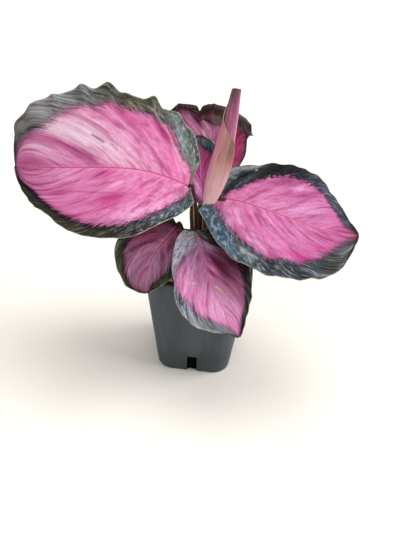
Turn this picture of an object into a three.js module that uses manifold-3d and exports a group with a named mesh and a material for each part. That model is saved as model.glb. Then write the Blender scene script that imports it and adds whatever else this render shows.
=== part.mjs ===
// A calathea in a square plastic nursery pot. Millimetres, +Z up.
// The origin is the centre of the pot's base, on the table. The pot's front face looks along -Y.
import * as THREE from 'three';
import { mergeVertices } from 'three/addons/utils/BufferGeometryUtils.js';
import Module from 'manifold-3d';

const wasm = await Module();
wasm.setup();

// ---- Pot: a tapered square with large round corners, a rim band and four drain notches ----
const POT_HEIGHT = 107;
const POT_BASE_HALF = 33.75;
const POT_BASE_CORNER = 15;
const POT_TAPER = 0.106;
const POT_WALL = 1.3;
const POT_FLOOR = 2;
const RIM_BAND = 7;
const RIM_PROUD = 1.1;
const NOTCH_WIDTH = 9;
const NOTCH_HEIGHT = 20;
const NOTCH_DEPTH = 9;
const CORNER_STEPS = 6;

// ---- Potting mix, with a socket for the foot of each petiole ----
const SOIL_TOP = 95;
const SOCKET_DEPTH = 12;
const FIT_GAP = 0.3;

// ---- Leaf blades and petioles ----
const BLADE_THICKNESS = 0.6;
const MIDRIB_BASE = 1.4;
const MIDRIB_TIP = 0.2;
const BLADE_ROWS = 16;
const BLADE_COLUMNS = 10;
const STUB_HALF_WIDTH = 1.2;
const TIP_HALF_WIDTH = 0.5;
const PETIOLE_SHEATH_RADIUS = 2.3;
const PETIOLE_RADIUS = 1.6;
const PULVINUS_RADIUS = 1.9;
const PULVINUS_LENGTH = 6;
const COLLAR_HEIGHT = 8;
const STEEP_TURN = Math.PI / 3;
const STEM_SIDES = 8;
const STEM_STEPS = 12;

// Each leaf starts at base. heading and pitch are the midrib's direction there, in degrees:
// heading turns from +X towards +Y, and pitch is the rise. Along its length the midrib turns by sweep,
// and sinks by droop, most of it near the tip where bend is above 1. roll tips the blade about the midrib
// and twist adds to it along the length. half holds half-widths at even steps from base to tip,
// fold is the angle at which that side leaves the midrib and cup how much it curls further up.
// lobe is how far the shoulders reach back past the base. foot is where its petiole meets the soil,
// and rise is how steeply the petiole climbs where it meets the blade.
const LEAVES = [
  {
    name: 'large_left', foot: [-4.8, 2.6], base: [-13, 8, 169], heading: 196, pitch: 25, droop: 41, bend: 1,
    sweep: -22, roll: 35, twist: 28, length: 145, lobe: 8.5, rise: 45,
    left: { half: [36, 60, 64, 53, 61], fold: 10, cup: 19 },
    right: { half: [55, 57, 61, 57, 78], fold: 11, cup: 17 },
  },
  {
    name: 'right', foot: [6.4, 1.2], base: [14.2, -3.5, 166.3], heading: -18, pitch: -1, droop: 15, bend: 1,
    sweep: 29, roll: -19, twist: 1, length: 114, lobe: 10.5, rise: 84,
    left: { half: [57, 53, 59, 54, 49], fold: 4, cup: -5 },
    right: { half: [38, 55, 59, 54, 50], fold: 4, cup: -6 },
  },
  {
    name: 'lower_front', foot: [-0.6, -6.2], base: [-4, -16, 142.5], heading: -66, pitch: -23, droop: 25, bend: 1,
    sweep: 23, roll: 5, twist: -1, length: 93, lobe: 4.5, rise: 20,
    left: { half: [25, 31, 34, 28, 25], fold: 6, cup: -7 },
    right: { half: [22, 28, 36, 38, 25], fold: 5, cup: -9 },
  },
  {
    name: 'lower_left', foot: [-5.8, -3.2], base: [-19, -11, 142], heading: -116, pitch: 12, droop: 107, bend: 1,
    sweep: 3, roll: 36, twist: 2, length: 70, lobe: 3, rise: 12,
    left: { half: [36, 33, 28, 22, 22], fold: 5, cup: -3 },
    right: { half: [30, 28, 31, 27, 25], fold: 7, cup: 2 },
  },
  {
    name: 'rear', foot: [1.2, 7.8], base: [2.8, 27, 163], heading: 96, pitch: 60, droop: -90, bend: 3,
    sweep: 0, roll: -2, twist: 0, length: 72, lobe: 3, rise: 60,
    left: { half: [27, 31, 36, 45, 84], fold: 6, cup: 7 },
    right: { half: [16, 26, 30, 34, 58], fold: 6, cup: 9 },
  },
  {
    name: 'inner', foot: [0.4, 2.2], base: [-1.2, 14.6, 151.2], heading: 108, pitch: 66, droop: 8, bend: 1,
    sweep: 2, roll: -1, twist: 0, length: 57, lobe: 2, rise: 66,
    left: { half: [8, 12, 15, 18, 32], fold: 8, cup: 8 },
    right: { half: [13, 18, 20, 19, 22], fold: 8, cup: 8 },
  },
];

// The furled new leaf: its axis from the foot of the roll to its tip, and the roll's radius on the way up.
const FURLED_FOOT = [4.4, -4.8];
const FURLED_AXIS = [[4.2, -4.4, 149.5], [7.2, -4, 166], [11.6, -3, 191], [15, -1.5, 216], [18.6, 0, 252]];
const FURLED_RADII = [2, 5.4, 7.7, 8.1, 7, 5.2, 3];
const FURLED_SIDES = 10;
const FURLED_STEPS = 14;

const POT_COLOUR = 0x484e50;
const SOIL_COLOUR = 0x3a2a20;
const PINK_COLOUR = 0xd0619f;
const PETIOLE_COLOUR = 0x4a2230;
const FURLED_COLOUR = 0xb9767e;

const calathea = new THREE.Group();

function addMesh(name, geometry, colour, roughness) {
  const material = new THREE.MeshStandardMaterial({ color: colour, roughness, metalness: 0 });
  const mesh = new THREE.Mesh(geometry, material);
  mesh.name = name;
  calathea.add(mesh);
}

// ---- Solids and booleans ----
function weld(geometry) {
  const bare = geometry.clone();
  bare.deleteAttribute('normal');
  bare.deleteAttribute('uv');
  return mergeVertices(bare, 1e-4);
}

function toSolid(geometry) {
  const welded = weld(geometry);
  return new wasm.Manifold(new wasm.Mesh({
    numProp: 3,
    vertProperties: new Float32Array(welded.attributes.position.array),
    triVerts: new Uint32Array(welded.index.array),
  }));
}

function toGeometry(solid) {
  const mesh = solid.getMesh();
  const geometry = new THREE.BufferGeometry();
  geometry.setAttribute('position', new THREE.BufferAttribute(mesh.vertProperties, 3));
  geometry.setIndex(new THREE.BufferAttribute(mesh.triVerts, 1));
  return geometry;
}

function boxSolid(width, depth, height, x, y, z) {
  const box = new THREE.BoxGeometry(width, depth, height);
  box.translate(x, y, z);
  return toSolid(box);
}

// Move every vertex of a geometry by a rule that takes and changes a Vector3.
function reshape(geometry, rule) {
  const position = geometry.attributes.position;
  const point = new THREE.Vector3();
  for (let i = 0; i < position.count; i += 1) {
    point.fromBufferAttribute(position, i);
    rule(point);
    position.setXYZ(i, point.x, point.y, point.z);
  }
  return geometry;
}

// ---- Pot and soil share one tapered rounded square ----
function roundedSquare(half, corner) {
  const flat = half - corner;
  const shape = new THREE.Shape();
  shape.moveTo(half, -flat);
  shape.lineTo(half, flat);
  shape.absarc(flat, flat, corner, 0, Math.PI / 2);
  shape.lineTo(-flat, half);
  shape.absarc(-flat, flat, corner, Math.PI / 2, Math.PI);
  shape.lineTo(-half, -flat);
  shape.absarc(-flat, -flat, corner, Math.PI, Math.PI * 1.5);
  shape.lineTo(flat, -half);
  shape.absarc(flat, -flat, corner, Math.PI * 1.5, Math.PI * 2);
  return shape;
}

function taperedBlock(inset, bottom, top) {
  const shape = roundedSquare(POT_BASE_HALF - inset, POT_BASE_CORNER - inset);
  const block = new THREE.ExtrudeGeometry(shape, {
    depth: top - bottom,
    bevelEnabled: false,
    curveSegments: CORNER_STEPS,
  });
  block.translate(0, 0, bottom);
  reshape(block, (point) => {
    const widening = 1 + (POT_TAPER * point.z) / POT_BASE_HALF;
    point.x *= widening;
    point.y *= widening;
  });
  return toSolid(block);
}

function cutNotches(solid, clearance) {
  const width = NOTCH_WIDTH + 2 * clearance;
  const height = NOTCH_HEIGHT + clearance;
  const outer = POT_BASE_HALF + 5;
  const inner = POT_BASE_HALF - NOTCH_DEPTH - clearance;
  const middle = (outer + inner) / 2;
  const depth = outer - inner;
  const floorZ = height / 2 - 1;
  let cut = solid;
  for (const side of [-1, 1]) {
    cut = cut.subtract(boxSolid(width, depth, height + 2, 0, side * middle, floorZ));
    cut = cut.subtract(boxSolid(depth, width, height + 2, side * middle, 0, floorZ));
  }
  return cut;
}

function buildPot() {
  const wall = taperedBlock(0, 0, POT_HEIGHT);
  const rim = taperedBlock(-RIM_PROUD, POT_HEIGHT - RIM_BAND, POT_HEIGHT);
  const cavity = taperedBlock(POT_WALL, POT_FLOOR, POT_HEIGHT + 1);
  return toGeometry(cutNotches(wall.add(rim).subtract(cavity), 0));
}

function buildSoil(feet) {
  let soil = taperedBlock(POT_WALL + FIT_GAP, POT_FLOOR + FIT_GAP, SOIL_TOP);
  soil = cutNotches(soil, FIT_GAP);
  for (const [x, y] of feet) {
    const radius = PETIOLE_SHEATH_RADIUS + FIT_GAP;
    const socket = new THREE.CylinderGeometry(radius, radius, SOCKET_DEPTH + 1, STEM_SIDES * 2);
    socket.rotateX(Math.PI / 2);
    socket.translate(x, y, SOIL_TOP - SOCKET_DEPTH / 2 + 0.5);
    soil = soil.subtract(toSolid(socket));
  }
  return toGeometry(soil);
}

// ---- Leaf blades ----
// A smooth curve through even steps of a list, read at a share of its length from 0 to 1.
function smoothValue(values, share) {
  const last = values.length - 1;
  const place = Math.min(share * last, last - 1e-9);
  const index = Math.floor(place);
  const f = place - index;
  const b = values[index];
  const c = values[index + 1];
  const a = index > 0 ? values[index - 1] : 2 * b - c;
  const d = index + 2 <= last ? values[index + 2] : 2 * c - b;
  return 0.5 * (2 * b + (c - a) * f + (2 * a - 5 * b + 4 * c - d) * f * f + (3 * b - a - 3 * c + d) * f * f * f);
}

// The outline closes as a quarter ellipse over the first 30% and to a blunt point over the last 40%.
function outlineClosing(share) {
  const atBase = Math.sqrt(1 - (1 - Math.min(share / 0.3, 1)) ** 2);
  const pastShoulder = Math.max((share - 0.6) / 0.4, 0);
  return atBase * (1 - pastShoulder ** 2) ** 0.8;
}

// A unit vector from its heading and its pitch, in degrees.
function direction(heading, pitch) {
  const turn = THREE.MathUtils.degToRad(heading);
  const rise = THREE.MathUtils.degToRad(pitch);
  const flat = Math.cos(rise);
  return new THREE.Vector3(flat * Math.cos(turn), flat * Math.sin(turn), Math.sin(rise));
}

// Direction of the midrib, and the blade's own side and upper directions, at a share of its length.
function bladeFrame(leaf, share) {
  const turn = leaf.heading + leaf.sweep * share;
  const forward = direction(turn, leaf.pitch - leaf.droop * share ** leaf.bend);
  const level = direction(turn - 90, 0);
  const tip = THREE.MathUtils.degToRad(leaf.roll + leaf.twist * share);
  const upright = new THREE.Vector3().crossVectors(level, forward);
  const side = level.multiplyScalar(Math.cos(tip)).addScaledVector(upright, Math.sin(tip));
  const normal = new THREE.Vector3().crossVectors(side, forward);
  return { forward, side, normal };
}

// Rows of points lie closer together at the base, where the outline turns sharply.
function rowShare(row) {
  return (row / BLADE_ROWS) ** 1.4;
}

// Points of the midrib at each row, found by walking along it.
function midribPoints(leaf) {
  const points = [new THREE.Vector3(...leaf.base)];
  for (let row = 0; row < BLADE_ROWS; row += 1) {
    const stride = rowShare(row + 1) - rowShare(row);
    const { forward } = bladeFrame(leaf, rowShare(row) + stride / 2);
    points.push(points[row].clone().addScaledVector(forward, leaf.length * stride));
  }
  return points;
}

// A thin box, with its length along the midrib and its width across the blade, bent to the leaf's form.
function buildBlade(leaf) {
  const midrib = midribPoints(leaf);
  const slab = new THREE.BoxGeometry(1, 2, 1, BLADE_ROWS, BLADE_COLUMNS, 1);
  return reshape(slab, (point) => {
    const row = Math.round((point.x + 0.5) * BLADE_ROWS);
    const share = rowShare(row);
    const { forward, side, normal } = bladeFrame(leaf, share);
    const across = Math.abs(point.y);
    const sign = point.y > 0 ? -1 : 1;
    const half = sign < 0 ? leaf.left : leaf.right;
    const least = STUB_HALF_WIDTH + (TIP_HALF_WIDTH - STUB_HALF_WIDTH) * share;
    const reach = Math.max(outlineClosing(share) * smoothValue(half.half, share), least) * across;
    const angle = THREE.MathUtils.degToRad(half.fold + (half.cup * across) / 2);
    const shoulder = leaf.lobe * Math.exp(-((share / 0.18) ** 2)) * Math.min(1, share / 0.03) * across ** 1.5;
    const rib = (MIDRIB_BASE * (1 - share) + MIDRIB_TIP) * Math.exp(-((reach / 1.5) ** 2));
    const depth = point.z > 0 ? 0 : BLADE_THICKNESS + rib;
    point.copy(midrib[row]);
    point.addScaledVector(side, sign * reach * Math.cos(angle));
    point.addScaledVector(normal, reach * Math.sin(angle) - depth);
    point.addScaledVector(forward, -shoulder);
  });
}

// ---- Stems: a cylinder bent along a path, with its own radius at each step ----
function buildStem(points, radii, sides, steps) {
  const path = new THREE.CatmullRomCurve3(points);
  const frames = path.computeFrenetFrames(steps, false);
  const centres = path.getSpacedPoints(steps);
  const rod = new THREE.CylinderGeometry(1, 1, 1, sides, steps);
  return reshape(rod, (point) => {
    const step = Math.round((point.y + 0.5) * steps);
    const radius = smoothValue(radii, step / steps);
    const { x, z } = point;
    point.copy(centres[step]);
    point.addScaledVector(frames.normals[step], z * radius);
    point.addScaledVector(frames.binormals[step], x * radius);
  });
}

// The foot stands upright in its socket, and the end arrives straight along the pulvinus.
function petiolePoints(foot, end, arrival) {
  const [x, y] = foot;
  const start = new THREE.Vector3(x, y, SOIL_TOP - SOCKET_DEPTH + FIT_GAP);
  const surface = new THREE.Vector3(x, y, SOIL_TOP);
  const collar = new THREE.Vector3(x, y, SOIL_TOP + COLLAR_HEIGHT);
  const bend = end.clone().addScaledVector(arrival, -PULVINUS_LENGTH);
  return [start, surface, collar, bend, end];
}

// A petiole ends just behind the blade's base, level with the middle of the midrib's thickness.
// One that meets the blade steeply ends just under the midrib instead.
function petioleEnd(leaf, arrival) {
  const { forward, normal } = bladeFrame(leaf, 0);
  const turn = arrival.angleTo(forward);
  const thickness = MIDRIB_BASE + MIDRIB_TIP + BLADE_THICKNESS;
  const end = new THREE.Vector3(...leaf.base);
  if (turn > STEEP_TURN) {
    end.addScaledVector(normal, -thickness - FIT_GAP - PETIOLE_RADIUS * Math.cos(turn));
    return end.addScaledVector(forward, PETIOLE_RADIUS);
  }
  end.addScaledVector(normal, -thickness / 2);
  return end.addScaledVector(forward, -FIT_GAP - PETIOLE_RADIUS * Math.sin(turn));
}

const PETIOLE_RADII = [
  PETIOLE_SHEATH_RADIUS, PETIOLE_SHEATH_RADIUS, PETIOLE_RADIUS, PETIOLE_RADIUS, PULVINUS_RADIUS, PETIOLE_RADIUS,
];

// ---- Assembly ----
const feet = LEAVES.map((leaf) => leaf.foot);
feet.push(FURLED_FOOT);
addMesh('pot', buildPot(), POT_COLOUR, 0.45);
addMesh('potting_mix', buildSoil(feet), SOIL_COLOUR, 0.95);

for (const leaf of LEAVES) {
  const arrival = direction(leaf.heading, leaf.rise);
  const points = petiolePoints(leaf.foot, petioleEnd(leaf, arrival), arrival);
  addMesh(`petiole_${leaf.name}`, buildStem(points, PETIOLE_RADII, STEM_SIDES, STEM_STEPS), PETIOLE_COLOUR, 0.5);
  addMesh(`blade_${leaf.name}`, buildBlade(leaf), PINK_COLOUR, 0.4);
}

const furledAxis = FURLED_AXIS.map((point) => new THREE.Vector3(...point));
const furledArrival = furledAxis[1].clone().sub(furledAxis[0]).normalize();
const furledJoint = furledAxis[0].clone().addScaledVector(furledArrival, -FIT_GAP);
const furledStem = petiolePoints(FURLED_FOOT, furledJoint, furledArrival);
addMesh('petiole_furled', buildStem(furledStem, PETIOLE_RADII, STEM_SIDES, STEM_STEPS), PETIOLE_COLOUR, 0.5);
addMesh('furled_leaf', buildStem(furledAxis, FURLED_RADII, FURLED_SIDES, FURLED_STEPS), FURLED_COLOUR, 0.5);

export default calathea;
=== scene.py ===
# %% [markdown]
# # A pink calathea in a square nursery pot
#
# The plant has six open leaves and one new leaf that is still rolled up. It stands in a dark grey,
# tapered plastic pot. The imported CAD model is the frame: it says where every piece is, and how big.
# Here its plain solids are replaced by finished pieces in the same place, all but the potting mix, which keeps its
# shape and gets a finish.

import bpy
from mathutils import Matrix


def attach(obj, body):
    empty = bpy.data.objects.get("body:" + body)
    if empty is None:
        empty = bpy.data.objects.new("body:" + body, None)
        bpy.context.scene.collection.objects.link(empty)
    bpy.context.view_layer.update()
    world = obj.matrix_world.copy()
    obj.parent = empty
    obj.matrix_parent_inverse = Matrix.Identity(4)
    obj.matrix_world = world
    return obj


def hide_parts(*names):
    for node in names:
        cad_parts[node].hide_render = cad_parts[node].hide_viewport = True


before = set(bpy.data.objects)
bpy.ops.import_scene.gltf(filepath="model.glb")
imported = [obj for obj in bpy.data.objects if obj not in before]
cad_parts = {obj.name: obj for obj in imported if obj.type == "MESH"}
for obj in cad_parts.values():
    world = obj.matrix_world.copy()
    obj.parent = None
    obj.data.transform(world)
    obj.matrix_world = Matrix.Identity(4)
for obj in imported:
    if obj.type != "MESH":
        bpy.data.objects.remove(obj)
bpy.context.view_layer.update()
print("CAD nodes:", sorted(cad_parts))

# %% [markdown]
# ## Helpers for every piece
#
# Lengths are thought of in millimetres, as on the maker's bench, and turned to metres on the way into
# Blender. A new primitive is selected all over and the frame leaves its nodes selected, so everything
# is deselected before a piece is started.

# %% Bench helpers
import math
import random

import bpy
import numpy as np
from mathutils import Matrix, Vector

MM = 0.001


def start_fresh():
    """Leave edit mode and deselect everything."""
    if bpy.context.object and bpy.context.object.mode != "OBJECT":
        bpy.ops.object.mode_set(mode="OBJECT")
    bpy.ops.object.select_all(action="DESELECT")


def linear(hex_colour):
    """An sRGB colour such as #d0619f as the linear RGBA that shaders use."""
    parts = [int(hex_colour[i:i + 2], 16) / 255 for i in (1, 3, 5)]
    return [c / 12.92 if c <= 0.04045 else ((c + 0.055) / 1.055) ** 2.4 for c in parts] + [1.0]


def apply_modifiers(piece):
    bpy.context.view_layer.objects.active = piece
    for modifier in list(piece.modifiers):
        bpy.ops.object.modifier_apply(modifier=modifier.name)


def finish_piece(piece, nodes, materials, angle=None):
    """Shade the piece, give it its finishes, attach it to the root body and hide the CAD nodes it stands for."""
    start_fresh()
    piece.select_set(True)
    bpy.context.view_layer.objects.active = piece
    bpy.ops.object.transform_apply(location=True, rotation=True, scale=True)
    if angle is None:
        bpy.ops.object.shade_smooth()
    else:
        bpy.ops.object.shade_smooth_by_angle(angle=math.radians(angle))
    for material in materials:
        piece.data.materials.append(material)
    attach(piece, "root")
    if nodes:
        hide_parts(*nodes)
    print(f"{piece.name}: {len(piece.data.polygons)} faces")

# %% [markdown]
# ## Camera, light and floor
#
# The photo looks down on the plant by 35 degrees, a little from the right of the pot's front, and the
# camera was held slightly turned. A lens of 500 pixels on a picture 533 pixels high gives the same
# perspective. The light is bright, soft and from above, so shadows are pale and lie under the leaves.

# %% Camera
LOOK_DOWN = 35.0
TURN = 4.5
CAMERA_ROLL = 3.19
CAMERA_PLACE = (28.4, -362.2, 351.1)
PICTURE_HEIGHT = 533
LENS_PIXELS = 500
SENSOR_SIZE = 36

camera_data = bpy.data.cameras.new("camera")
camera = bpy.data.objects.new("camera", camera_data)
bpy.context.scene.collection.objects.link(camera)
camera_data.sensor_width = SENSOR_SIZE
camera_data.lens = SENSOR_SIZE * LENS_PIXELS / PICTURE_HEIGHT
camera_data.clip_start = 0.01
turned = Matrix.Rotation(math.radians(TURN), 4, "Z")
tipped = Matrix.Rotation(math.radians(90 - LOOK_DOWN), 4, "X")
rolled = Matrix.Rotation(math.radians(CAMERA_ROLL), 4, "Z")
camera.matrix_world = Matrix.Translation(Vector(CAMERA_PLACE) * MM) @ turned @ tipped @ rolled
bpy.context.scene.camera = camera
print("camera:", [round(v, 3) for v in camera.location], "lens", round(camera_data.lens, 2), "mm")

# %% Light and view
SKY_COLOUR = (1.0, 0.985, 0.96, 1.0)
SKY_STRENGTH = 0.42

bpy.context.scene.view_settings.view_transform = "Standard"
world = bpy.data.worlds.new("studio")
bpy.context.scene.world = world
world.use_nodes = True
sky = world.node_tree.nodes["Background"]
sky.inputs["Color"].default_value = SKY_COLOUR
sky.inputs["Strength"].default_value = SKY_STRENGTH


def soft_sun(name, towards, spread, strength):
    """Even light from one side. A wide spread makes its shadows soft."""
    light_data = bpy.data.lights.new(name, "SUN")
    light_data.angle = math.radians(spread)
    light_data.energy = strength
    light = bpy.data.objects.new(name, light_data)
    bpy.context.scene.collection.objects.link(light)
    light.rotation_euler = Vector(towards).to_track_quat("Z", "Y").to_euler()
    print(f"{name}: {strength} W/m2 from {towards}, {spread} degrees wide")


soft_sun("overhead", (0.05, 0.1, 1.0), 40, 1.3)
soft_sun("window", (1.0, 0.1, 0.55), 45, 2.5)
soft_sun("room", (-0.15, -1.0, 0.5), 70, 0.7)

# %% [markdown]
# ## Shader maths as Python
#
# A finish is a net of nodes. Written one node at a time it is hard to read, so a socket is wrapped in a
# small class, Wire, that adds a Math node when it meets +, -, * or /. Colours and vectors must not
# go through a Math node, which would turn them grey, so they have methods of their own on Finish.

# %% Wire
class Wire:
    """An output socket of a finish that can be used in Python arithmetic."""

    def __init__(self, finish, socket):
        self.finish = finish
        self.socket = socket

    def math(self, operation, *values):
        return self.finish.node("ShaderNodeMath", {"operation": operation}, dict(enumerate(values)))

    def __add__(self, other):
        return self.math("ADD", self, other)

    def __radd__(self, other):
        return self.math("ADD", other, self)

    def __sub__(self, other):
        return self.math("SUBTRACT", self, other)

    def __rsub__(self, other):
        return self.math("SUBTRACT", other, self)

    def __mul__(self, other):
        return self.math("MULTIPLY", self, other)

    def __rmul__(self, other):
        return self.math("MULTIPLY", other, self)

    def __truediv__(self, other):
        return self.math("DIVIDE", self, other)

    def __abs__(self):
        return self.math("ABSOLUTE", self)

# %% Finish
class Finish:
    """A material that is built up node by node."""

    def __init__(self, name):
        self.material = bpy.data.materials.new(name)
        self.material.use_nodes = True
        self.tree = self.material.node_tree
        self.tree.nodes.clear()

    def node(self, kind, settings=None, values=None, output=0):
        made = self.tree.nodes.new(kind)
        for key, value in (settings or {}).items():
            setattr(made, key, value)
        for key, value in (values or {}).items():
            if isinstance(value, Wire):
                self.tree.links.new(value.socket, made.inputs[key])
            else:
                made.inputs[key].default_value = value
        return Wire(self, made.outputs[output])

    def stored(self, name, output=2):
        """A value kept on the mesh: output 0 is its colour, 1 its vector and 2 its number."""
        settings = {"attribute_type": "GEOMETRY", "attribute_name": name}
        return self.node("ShaderNodeAttribute", settings, output=output)

    def place(self):
        return self.node("ShaderNodeTexCoord", output=3)

    def scaled(self, vector, factors):
        return self.node("ShaderNodeVectorMath", {"operation": "MULTIPLY"}, {0: vector, 1: factors})

    def part(self, vector, index):
        return self.node("ShaderNodeSeparateXYZ", None, {0: vector}, output=index)

    def noise(self, vector, scale, detail=2.0, roughness=0.5):
        values = {"Vector": vector, "Scale": scale, "Detail": detail, "Roughness": roughness}
        return self.node("ShaderNodeTexNoise", None, values)

    def step(self, value, low, high):
        """0 below low, 1 above high and a smooth rise between. Low may be above high."""
        values = {0: value, 1: low, 2: high, 3: 0.0, 4: 1.0}
        if low > high:
            values = {0: value, 1: high, 2: low, 3: 1.0, 4: 0.0}
        return self.node("ShaderNodeMapRange", {"interpolation_type": "SMOOTHSTEP"}, values)

    def mix(self, first, second, factor, way="MIX"):
        """A colour between two, or blended in another way."""
        settings = {"data_type": "RGBA", "blend_type": way}
        return self.node("ShaderNodeMix", settings, {0: factor, 6: first, 7: second}, output=2)

    def mottled(self, pattern, low, high, dark, pale):
        """From one colour to another as a pattern rises from low to high."""
        return self.mix(linear(dark), linear(pale), self.step(pattern, low, high))

    def bump(self, height, distance):
        return self.node("ShaderNodeBump", None, {"Height": height, "Distance": distance})

    def surface(self, **values):
        """The end of the net: a Principled shader into the material's output."""
        named = {key.replace("_", " "): value for key, value in values.items()}
        shader = self.node("ShaderNodeBsdfPrincipled", None, named)
        out = self.tree.nodes.new("ShaderNodeOutputMaterial")
        self.tree.links.new(shader.socket, out.inputs["Surface"])
        return self.material

# %% Floor
FLOOR_SIZE = 9


def floor_finish():
    f = Finish("pale_floor")
    cloud = f.noise(f.place(), 2.2, 3.0)
    colour = f.mix(linear("#f5efe5"), linear("#fbf7f1"), cloud)
    return f.surface(Base_Color=colour, Roughness=0.6)


start_fresh()
bpy.ops.mesh.primitive_plane_add(size=FLOOR_SIZE, location=(0, 0, 0))
floor = bpy.context.object
floor.name = "floor"
floor.data.materials.append(floor_finish())
print("floor:", FLOOR_SIZE, "m square")

# %% [markdown]
# ## The shape of a leaf blade
#
# A calathea's blade is a thin sheet with a midrib that arches away from its petiole. The two halves
# rise from the midrib like an open book and curl on the way to the margin. So a flat grid is laid along
# the midrib and moved, point by point, by a rule. The rule is the one that the CAD solids follow, so
# each fine blade lies where its plain solid is. Modelling the sheet by hand would drift away from it.
#
# - heading, pitch: the midrib's direction at the base. sweep, droop and bend: how it turns and sinks.
# - roll, twist: how the blade is tipped about its midrib.
# - half: half-widths at even steps from base to tip. fold, cup: the angle and the curl of that half.
# - lobe: how far the rounded shoulders reach back past the base.
# - foot, rise: where the leaf's petiole stands on the potting mix, and how steeply it meets the blade.

# %% Leaf shapes, in millimetres and degrees
LEAVES = {
    "large_left": dict(
        foot=(-4.8, 2.6), base=(-13, 8, 169), heading=196, pitch=25, droop=41, bend=1, sweep=-22, roll=35,
        twist=28, length=145, lobe=8.5, rise=45,
        left=dict(half=[36, 60, 64, 53, 61], fold=10, cup=19),
        right=dict(half=[55, 57, 61, 57, 78], fold=11, cup=17)),
    "right": dict(
        foot=(6.4, 1.2), base=(14.2, -3.5, 166.3), heading=-18, pitch=-1, droop=15, bend=1, sweep=29, roll=-19,
        twist=1, length=114, lobe=10.5, rise=84,
        left=dict(half=[57, 53, 59, 54, 49], fold=4, cup=-5),
        right=dict(half=[38, 55, 59, 54, 50], fold=4, cup=-6)),
    "lower_front": dict(
        foot=(-0.6, -6.2), base=(-4, -16, 142.5), heading=-66, pitch=-23, droop=25, bend=1, sweep=23, roll=5,
        twist=-1, length=93, lobe=4.5, rise=20,
        left=dict(half=[25, 31, 34, 28, 25], fold=6, cup=-7),
        right=dict(half=[22, 28, 36, 38, 25], fold=5, cup=-9)),
    "lower_left": dict(
        foot=(-5.8, -3.2), base=(-19, -11, 142), heading=-116, pitch=12, droop=107, bend=1, sweep=3, roll=36,
        twist=2, length=70, lobe=3, rise=12,
        left=dict(half=[36, 33, 28, 22, 22], fold=5, cup=-3),
        right=dict(half=[30, 28, 31, 27, 25], fold=7, cup=2)),
    "rear": dict(
        foot=(1.2, 7.8), base=(2.8, 27, 163), heading=96, pitch=60, droop=-30, bend=3, sweep=0, roll=-2,
        twist=0, length=88, lobe=3, rise=60,
        left=dict(half=[27, 31, 37, 48, 62], fold=6, cup=7),
        right=dict(half=[16, 27, 31, 38, 52], fold=6, cup=9)),
    "inner": dict(
        foot=(0.4, 2.2), base=(-1.2, 14.6, 151.2), heading=108, pitch=66, droop=8, bend=1, sweep=2, roll=-1,
        twist=0, length=57, lobe=2, rise=66,
        left=dict(half=[8, 12, 15, 18, 32], fold=8, cup=8),
        right=dict(half=[13, 18, 20, 19, 22], fold=8, cup=8)),
}
STUB_HALF_WIDTH = 1.2
TIP_HALF_WIDTH = 0.5
print("leaf lengths in mm:", {name: leaf["length"] for name, leaf in LEAVES.items()})

# %% Rules for a blade's shape
SHOULDER_END = 0.3
TAPER_START = 0.6
TAPER_POWER = 0.8
MIDRIB_STRIDES = 400


def smooth_value(values, share):
    """A smooth curve through even steps of a list, read at shares of its length."""
    values = np.asarray(values, float)
    last = len(values) - 1
    place = np.clip(np.asarray(share) * last, 0, last - 1e-9)
    index = place.astype(int)
    f = (place - index).reshape(place.shape + (1,) * (values.ndim - 1))
    b, c = values[index], values[index + 1]
    a = np.where((index > 0).reshape(f.shape), values[np.maximum(index - 1, 0)], 2 * b - c)
    d = np.where((index + 2 <= last).reshape(f.shape), values[np.minimum(index + 2, last)], 2 * c - b)
    square, cube = 2 * a - 5 * b + 4 * c - d, 3 * b - a - 3 * c + d
    return 0.5 * (2 * b + (c - a) * f + square * f**2 + cube * f**3)


def outline_closing(share):
    """How the outline closes: a round end at the base and a taper to the tip, 1 in between."""
    at_base = np.sqrt(np.clip(1 - (1 - np.minimum(share / SHOULDER_END, 1)) ** 2, 0, 1))
    tapering = np.clip((share - TAPER_START) / (1 - TAPER_START), 0, 1)
    return at_base * (1 - tapering**2) ** TAPER_POWER


def direction(heading, pitch):
    """A unit vector from two angles in degrees: the turn from +X towards +Y, and the rise."""
    turn, rise = np.radians(heading), np.radians(pitch)
    return np.stack([np.cos(rise) * np.cos(turn), np.cos(rise) * np.sin(turn), np.sin(rise)], -1)


def blade_frame(leaf, share):
    """The midrib's direction and the blade's own side and upper directions."""
    turn = leaf["heading"] + leaf["sweep"] * share
    forward = direction(turn, leaf["pitch"] - leaf["droop"] * share ** leaf["bend"])
    level = direction(turn - 90, 0 * share)
    tip = np.radians(leaf["roll"] + leaf["twist"] * share)[..., None]
    side = level * np.cos(tip) + np.cross(level, forward) * np.sin(tip)
    return forward, side, np.cross(side, forward)


def midrib_points(leaf, share):
    """Walk along the midrib in short strides, and read the place at each share of its length."""
    walked = np.linspace(0, 1, MIDRIB_STRIDES + 1)
    forward = blade_frame(leaf, (walked[1:] + walked[:-1]) / 2)[0]
    strides = np.cumsum(forward * leaf["length"] / MIDRIB_STRIDES, 0)
    line = np.vstack([np.zeros(3), strides]) + np.array(leaf["base"], float)
    return np.stack([np.interp(share, walked, line[:, axis]) for axis in range(3)], -1)


def both_sides(across, left, right):
    """Take a value from the left half where across is positive, and from the right half elsewhere."""
    return np.where(across > 0, left, right)


for name, leaf in LEAVES.items():
    tip = midrib_points(leaf, np.array([1.0]))[0]
    print(f"{name}: midrib from {leaf['base']} to {tuple(tip.round(1).tolist())} mm")

# %% [markdown]
# ## Patterns that follow the blade
#
# Everything on a calathea's blade follows its side veins: the rose bands, the feathered border of the
# pink, the silver flecks and the soft pleats. The side veins leave the midrib and sweep towards the tip.
# vein_start says where on the midrib a point's side vein began, so it is the same all along one vein.
# A pattern that changes quickly with it and slowly along the vein is a streak, as on the real leaf.

# %% Vein coordinates
FAN_CENTRE = -0.11
FAN = 1.1
STEADY_FROM = 0.45


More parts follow.
